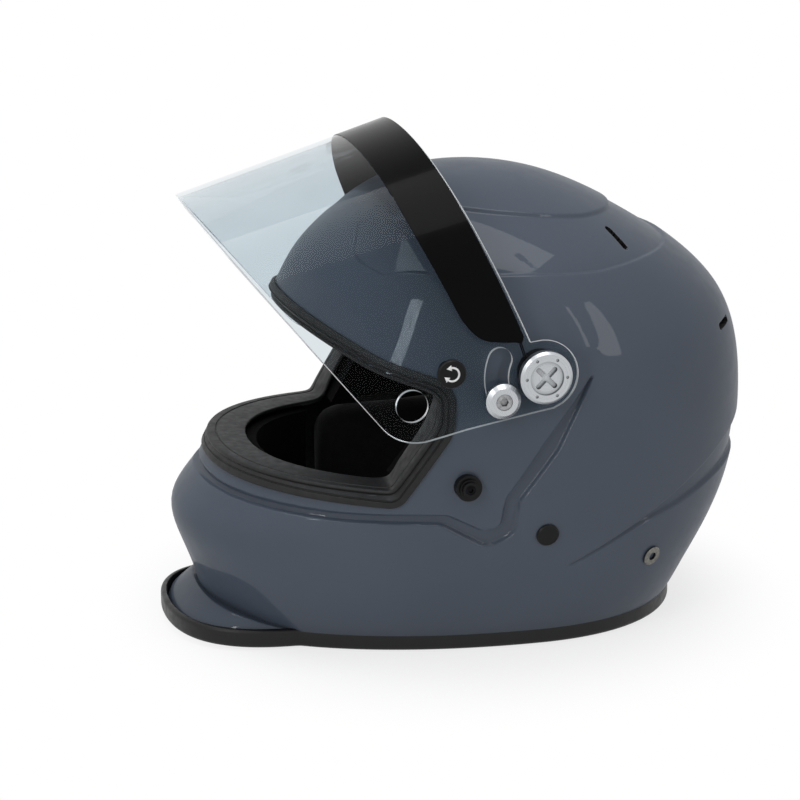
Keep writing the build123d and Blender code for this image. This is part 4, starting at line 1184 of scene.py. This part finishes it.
def cut_holes(piece, rings):
    """Cut side-view outlines right through a piece, its new walls in the last material."""
    cutters = [side_cutter(f"cutter_{k}", ring, piece.data.materials[-1])
               for k, ring in enumerate(rings)]
    for k, cutter in enumerate(cutters):
        change = piece.modifiers.new(f"hole {k}", "BOOLEAN")
        change.object, change.operation, change.solver = cutter, "DIFFERENCE", "EXACT"
        change.material_mode = "TRANSFER"
    settle(piece, smooth=False)
    for cutter in cutters:
        bpy.data.objects.remove(cutter)
    auto_smooth(piece, 30)


def sheet_outline(shape):
    """A rounded outline along and up the raised shield, from shares of its section's height."""
    points, radii = shape
    return rounded(np.array(points) * SHIELD_CROWN, [r * FRONT_REACH for r in radii])


def tearoff_place():
    """Where the tear-off posts stand, seen from the side."""
    return raised(TEAROFF[0] * SHIELD_CROWN, TEAROFF[1] * SHIELD_CROWN)


def build_shield(body):
    """The clear sheet with its slot and holes, and the film strip along its top edge."""
    wall, pivot = millimetres("shield_wall"), (PIVOT_X, PIVOT_Z)
    piece = wrapped_sheet("shield_sheet", sheet_outline(SHIELD_EDGE), -EAR_RADIUS, 0.0, wall, True,
                          [MATERIALS["clear"], MATERIALS["edge"]])
    (latch,) = arc(pivot, LATCH_RADIUS, np.radians([LATCH_ANGLE]))
    cut_holes(piece, [kidney(), circle(latch, LATCH_HOLE), circle(pivot, PIVOT_HOLE),
                      circle(tearoff_place(), TEAROFF_HOLE)])
    finish_piece(piece, body, "clear_shield", "shield")
    strip = sheet_outline(STRIP_EDGE)
    strip_film = wrapped_sheet(
        "sun_strip_film", strip, strip[:, 1].min(), wall + 0.02, millimetres("film_wall"), False,
        [MATERIALS["film"]] * 2, 120, 12, 0.12)
    finish_piece(strip_film, body, "black_film", "sun_strip")


# Printed arrow, in degrees and millimetres: its sweep, its line and its two heads
ARROW_FROM, ARROW_TO, ARROW_OUTER, ARROW_INNER = -128, 98, 4.3, 3.2
HEAD_OUTER, HEAD_INNER, HEAD_MIDDLE, HEAD_LENGTH = 5.4, 2.1, 3.75, 2.9
INK_PROUD, INK_WALL = 0.06, 0.05


def build_arrows():
    """The printed turning arrow on the head of each tear-off post."""
    x0, z0 = tearoff_place()
    face = SHIELD_HALF + millimetres("shield_wall") + RUNNING_GAP + TEAROFF_HEIGHT + INK_PROUD
    sweep = np.radians(np.linspace(ARROW_FROM, ARROW_TO, 40))
    points = [(r * cos(a), r * sin(a)) for a in sweep for r in (ARROW_OUTER, ARROW_INNER)]
    faces = [[2 * k, 2 * k + 1, 2 * k + 3, 2 * k + 2] for k in range(len(sweep) - 1)]
    for end, way in ((sweep[0], -1), (sweep[-1], 1)):
        out = np.array([cos(end), sin(end)])
        ahead = way * np.array([-sin(end), cos(end)])
        faces.append([len(points), len(points) + 1, len(points) + 2])
        points += [out * HEAD_OUTER, out * HEAD_INNER, out * HEAD_MIDDLE + ahead * HEAD_LENGTH]
    for hand, side in zip(HANDS, (-1, 1)):
        places = [(x0 + a, side * face, z0 + b) for a, b in points]
        piece = make_mesh(f"tear_off_arrow_{hand}", places, faces, [MATERIALS["ink"]])
        solid = piece.modifiers.new("ink", "SOLIDIFY")
        solid.thickness, solid.offset = INK_WALL * MM, 0
        finish_piece(piece, f"tear_off_{hand}", "black_plastic")


# Soft pieces


def build_liner(body):
    """Quilted cloth over the comfort padding inside the crown liner."""
    def quilt(p):
        lines = np.minimum(np.abs(np.sin(p[:, 0] * pi / 46)), np.abs(np.sin(
            np.arctan2(p[:, 2] - 150, np.abs(p[:, 1])) * 5)))
        return 3.0 * (1 - np.exp(-lines * 5)) - 1.5

    inner = offset_grid("comfort_liner_cloth", -42.5, 131.0, 150, 60, MATERIALS["cloth"], 7.5,
                        lambda p: -quilt(p))
    solid = inner.modifiers.new("padding", "SOLIDIFY")
    solid.thickness, solid.offset = 6.0 * MM, 1.0
    finish_piece(inner, body, "comfort_cloth", "comfort_liner")


def cushion(name, sections, swell, cap_mm):
    """Swell a closed form as stuffed cloth: remesh, inflate and keep each point near its start."""
    piece = tube(name, sections, [MATERIALS["cloth"]])
    mesher = piece.modifiers.new("remesh", "REMESH")
    mesher.mode, mesher.voxel_size = "VOXEL", 4.5 * MM
    settle(piece)
    start = np.array([v.co for v in piece.data.vertices])
    cloth_mod = piece.modifiers.new("cloth", "CLOTH")
    cloth_mod.settings.use_pressure = True
    cloth_mod.settings.uniform_pressure_force = swell
    cloth_mod.settings.effector_weights.gravity = 0
    cloth_mod.settings.quality = 5
    for frame_number in range(1, 21):
        bpy.context.scene.frame_set(frame_number)
    settle(piece)
    bpy.context.scene.frame_set(1)
    now = np.array([v.co for v in piece.data.vertices])
    move = now - start
    far = np.linalg.norm(move, axis=1)
    move *= np.minimum(1, cap_mm * MM / np.maximum(far, 1e-9))[:, None]
    piece.data.vertices.foreach_set("co", (start + move).ravel())
    piece.data.update()
    fine = piece.modifiers.new("smooth", "SUBSURF")
    fine.levels = fine.render_levels = 1
    return piece


def pad_sections():
    """The cheek pad's plain form: its outer face follows the shell, its inner face is crowned."""
    (x0, z0), (x1, z1) = PAD_LOW, PAD_HIGH
    ring = rounded([(x0, z0), (x1, z0), (x1, z1), (x0, z1)], [PAD_CORNER] * 4, 8)
    middle = ring.mean(0)
    layers = []
    for share, draw in PAD_LAYERS:
        flat = middle + (ring - middle) * draw
        outer = skin_y(flat[:, 0], flat[:, 1])[0] - PAD_INSET
        depth = PAD_INNER + (outer - PAD_INNER) * share
        layers.append(np.stack([flat[:, 0], -depth, flat[:, 1]], 1))
    return layers


def squared(share):
    """A circle's sine or cosine, drawn out towards a square's."""
    return np.sign(share) * np.abs(share)**ROLL_SQUARE


def roll_section(u):
    """A section of the neck roll, at a turn round the form."""
    t = t_at(np.array([ROLL_LEVEL]))
    p, n = skin_and_normal(np.array([u]), t)
    along = unit(skin(np.array([u + 1e-3]), t) - p)[0]
    out = np.array([along[1], -along[0], 0.0])
    if out @ n[0] < 0:
        out = -out
    a = np.linspace(0, 2 * pi, 28, endpoint=False)
    return (p[0] - out * ROLL_INSET + np.outer(millimetres("roll_half") * squared(np.cos(a)), out)
            + np.outer(ROLL_RISE * squared(np.sin(a)), (0, 0, 1)))


def build_pads(body):
    """Two cheek pads and the roll round the back of the neck."""
    left = cushion("cheek_pad_cloth_left", pad_sections(), 3.0, 3.0)
    settle(left)
    right = left.copy()
    right.data = left.data.copy()
    right.name = right.data.name = "cheek_pad_cloth_right"
    bpy.context.scene.collection.objects.link(right)
    coords = np.array([v.co for v in right.data.vertices]) * MIRROR
    right.data.vertices.foreach_set("co", coords.ravel())
    right.data.flip_normals()
    for piece, hand in zip((left, right), HANDS):
        finish_piece(piece, body, "comfort_cloth", f"cheek_pad_{hand}")
    rows = [roll_section(u) for u in (np.linspace(0.30, 0.70, 60) + 0.5) % 1.0]
    for end, inside in ((0, 1), (-1, -2)):  # drawn in, so that the ends look sewn shut
        centre = rows[end].mean(0)
        away = centre - rows[inside].mean(0)
        rows[end] = centre + away * 0.3 + (rows[end] - centre) * 0.45
    roll = tube("neck_roll_cloth", rows, [MATERIALS["cloth"]])
    finish_piece(roll, body, "comfort_cloth", "neck_roll")


def strap_strip(name, line, body, node):
    """Webbing along a line in the plane across the helmet."""
    line = np.array(line, float)
    run = run_along(line)
    length = run[-1]
    at = np.linspace(0, length, int(length / 1.2))
    line = np.stack([np.interp(at, run, row) for row in line.T], 1)
    ahead = unit(np.gradient(line, axis=0))
    side = np.stack([-ahead[:, 1], ahead[:, 0]], 1)
    half, wall = STRAP_WIDE / 2, STRAP_HALF_WALL
    section = rounded([(-half, -wall), (half, -wall), (half, wall), (-half, wall)], [0.7] * 4, 3)
    sections = [np.array([(STRAP_X + a, p[0] + s[0] * b, p[1] + s[1] * b) for a, b in section])
                for p, s in zip(line, side)]
    piece = tube(name, sections, [MATERIALS["webbing"]])
    finish_piece(piece, body, "strap_webbing", node)


def strap_wall(z):
    """A place on the strap's way down the inside of the shell."""
    inset = SHELL_WALL + STRAP_SEAT + 1.0
    return abs(skin(np.full(1, 0.25), t_at(np.array([z])))[0, 1]) - inset, z


def build_straps(body):
    """The two halves of the chin strap: one round the rings' bars, one with a folded end."""
    wall = [strap_wall(z) for z in (STRAP_TOP, (STRAP_TOP + STRAP_LEVEL) / 2, STRAP_LEVEL)]
    left = rounded([(-a, b) for a, b in (*wall, (STRAP_INNER + 6.2, STRAP_LEVEL))],
                   [0, 9, 9, 0], 8)
    turn = [(-STRAP_INNER + STRAP_TURN * np.sign(cos(a)) * (abs(cos(a)) > 1e-9)
             + STRAP_TURN * cos(a), STRAP_LEVEL + STRAP_TURN * sin(a))
            for a in np.linspace(pi, -pi * 0.93, 40)]
    strap_strip("chin_strap_webbing_left", [*left, *turn], body, "chin_strap_left")
    inner, low = STRAP_INNER - STRAP_TURN, STRAP_LEVEL - FOLD_DEEP
    short = low + FOLD_SHORT
    folds = [(inner, STRAP_LEVEL), (inner, low), (inner + FOLD_STEP, low),
             (inner + FOLD_STEP, short), (inner + 2 * FOLD_STEP, short),
             (inner + 2 * FOLD_STEP, low)]
    right = rounded([*wall, *folds], [0, 9, 9] + [2.9] * 5 + [0], 8)
    strap_strip("chin_strap_webbing_right", right, body, "chin_strap_right")


# Stage


STUDIO_GREY = "#9c9c9d"
FADE_FROM, FADE_TO, FADE_NEAR = 0.12, 0.22, 0.74
FLOOR_HALF, FLOOR_DROP = 6.0, 0.0003

# Soft boxes: name, place, the height they aim at on the helmet's axis, size and power
LAMPS = [("top_box", (-0.1, -0.15, 1.25), 0.1, (1.1, 0.7), 7.2),
         ("left_box", (-1.0, -0.9, 0.8), 0.12, (0.16, 0.8), 4.5),
         ("right_box", (0.9, -1.1, 0.7), 0.12, (0.2, 0.8), 1.5)]

# The photograph's camera: degrees round and up, distance, height it aims at, lens and shift
VIEW_TURN, VIEW_RISE, VIEW_AWAY, VIEW_AIM = -15.0, 16.0, 1.6, 0.127
LENS, SENSOR, SHIFT_X, SHIFT_Y = 120.0, 36.0, -0.0625, -0.0075


def area_light(name, place, aim, size, power):
    """A white soft box that faces a height on the helmet's axis."""
    light = bpy.data.lights.new(name, "AREA")
    light.shape, light.size, light.size_y = "RECTANGLE", size[0], size[1]
    light.energy = power
    lamp = bpy.data.objects.new(name, light)
    bpy.context.scene.collection.objects.link(lamp)
    lamp.location = place
    lamp.rotation_euler = (Vector((0, 0, aim)) - Vector(place)).to_track_quat("-Z", "Y").to_euler()


def build_stage():
    """Floor, soft light and the photograph's camera."""
    scene = bpy.context.scene
    bm = bmesh.new()
    bmesh.ops.create_grid(bm, x_segments=24, y_segments=24, size=FLOOR_HALF)
    mesh = bpy.data.meshes.new("studio_floor")
    bm.to_mesh(mesh)
    bm.free()
    mesh.materials.append(floor_paper())
    floor = bpy.data.objects.new("studio_floor", mesh)
    floor.location.z = -FLOOR_DROP
    scene.collection.objects.link(floor)
    world = bpy.data.worlds.new("studio")
    scene.world = world
    world.use_nodes = True
    tree = world.node_tree
    colour = node(tree, "ShaderNodeMix", {
        "Factor": seen_rays(tree), "A": linear(STUDIO_GREY), "B": linear("#ffffff")},
        data_type="RGBA")
    tree.links.new(colour.outputs["Result"], tree.nodes["Background"].inputs["Color"])
    for lamp in LAMPS:
        area_light(*lamp)
    data = bpy.data.cameras.new("photo_camera")
    data.lens, data.sensor_width = LENS, SENSOR
    data.shift_x, data.shift_y = SHIFT_X, SHIFT_Y
    camera = bpy.data.objects.new("photo_camera", data)
    scene.collection.objects.link(camera)
    a, e = radians(VIEW_TURN), radians(VIEW_RISE)
    back_dir = Vector((sin(a) * cos(e), -cos(a) * cos(e), sin(e)))
    camera.location = Vector((0, 0, VIEW_AIM)) + back_dir * VIEW_AWAY
    camera.rotation_euler = (-back_dir).to_track_quat("-Z", "Y").to_euler()
    scene.camera = camera
    scene.view_settings.view_transform = "Standard"


# Add-on


def colour_property(name, description, colour):
    """A colour setting with its default from a hex colour."""
    return bpy.props.FloatVectorProperty(
        name=name, description=description, default=linear(colour), subtype="COLOR", size=4,
        min=0.0, max=1.0)


def length_property(name, description, length_mm):
    """A length setting with its default in millimetres."""
    return bpy.props.FloatProperty(
        name=name, description=description, default=length_mm * MM, min=0.0, unit="LENGTH",
        precision=4)


class HelmetSettings(bpy.types.PropertyGroup):
    """Sizes and colours of the dressed helmet."""

    paint_colour: colour_property("Paint", "Colour of the sprayed shell", "#4a525e")
    rubber_colour: colour_property("Rubber", "Colour of the trim and the seal", "#0a0a0b")
    cloth_colour: colour_property("Cloth", "Colour of the padding's cloth", "#060607")
    film_colour: colour_property("Film", "Colour of the strip on the shield", "#040405")
    channel_depth: length_property("Channel", "Depth of the groove round the eyeport", 3.5)
    crown_depth: length_property("Crown", "Depth of the recess over the crown", 1.6)
    gutter_depth: length_property("Gutter", "Depth of the groove to the back", 2.3)
    vent_depth: length_property("Vents", "Depth of the vents' slots", 3.6)
    shield_wall: length_property("Shield", "Thickness of the clear shield", 2.6)
    film_wall: length_property("Film", "Thickness of the strip on the shield", 0.4)
    roll_half: length_property("Neck roll", "Half thickness of the neck roll's cloth", 8.0)
    shield_tint: colour_property("Tint", "What one face of the clear shield lets through",
                                 "#ecf0f2")


def settings():
    """The scene's settings of the helmet."""
    return bpy.context.scene.helmet


class MaterialsOperator(bpy.types.Operator):
    """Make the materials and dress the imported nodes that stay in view"""

    bl_idname = "helmet.materials"
    bl_label = "Materials"

    def execute(self, context):
        make_materials()
        for kind, names in CAD_FINISHES.items():
            for name in names:
                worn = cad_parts[name].data.materials
                worn.clear()
                worn.append(MATERIALS[kind])
        return {"FINISHED"}


class ShellOperator(bpy.types.Operator):
    """Build the painted shell and its inside"""

    bl_idname = "helmet.shell"
    bl_label = "Shell"

    def execute(self, context):
        build_shell("helmet")
        return {"FINISHED"}


class RubberOperator(bpy.types.Operator):
    """Build the lower trim and the eyeport seal"""

    bl_idname = "helmet.rubber"
    bl_label = "Trim and seal"

    def execute(self, context):
        build_trim("helmet")
        build_seal("helmet")
        return {"FINISHED"}


class ShieldOperator(bpy.types.Operator):
    """Build the clear shield, its film strip and the printed arrows"""

    bl_idname = "helmet.shield"
    bl_label = "Shield"

    def execute(self, context):
        build_shield("shield")
        build_arrows()
        return {"FINISHED"}


class SoftOperator(bpy.types.Operator):
    """Build the cloth liner, the pads and the straps"""

    bl_idname = "helmet.soft"
    bl_label = "Soft pieces"

    def execute(self, context):
        build_liner("helmet")
        build_pads("helmet")
        build_straps("helmet")
        return {"FINISHED"}


class StageOperator(bpy.types.Operator):
    """Set out the floor, the lights and the camera"""

    bl_idname = "helmet.stage"
    bl_label = "Stage"

    def execute(self, context):
        build_stage()
        return {"FINISHED"}


class HelmetPanel(bpy.types.Panel):
    """Buttons for each group of pieces"""

    bl_idname = "VIEW3D_PT_helmet"
    bl_label = "Racing helmet"
    bl_space_type = "VIEW_3D"
    bl_region_type = "UI"
    bl_category = "Helmet"

    def draw(self, context):
        for operator in STEPS:
            self.layout.operator(operator.bl_idname)


STEPS = (StageOperator, MaterialsOperator, ShellOperator, RubberOperator, ShieldOperator,
         SoftOperator)


def register():
    for made in (HelmetSettings, *STEPS, HelmetPanel):
        bpy.utils.register_class(made)
    bpy.types.Scene.helmet = bpy.props.PointerProperty(type=HelmetSettings)


def unregister():
    del bpy.types.Scene.helmet
    for made in (HelmetPanel, *STEPS[::-1], HelmetSettings):
        bpy.utils.unregister_class(made)


def main():
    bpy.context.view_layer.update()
    register()
    bpy.ops.helmet.stage()
    bpy.ops.helmet.materials()
    bpy.ops.helmet.shell()
    bpy.ops.helmet.rubber()
    bpy.ops.helmet.shield()
    bpy.ops.helmet.soft()


if __name__ == "__main__":
    main()
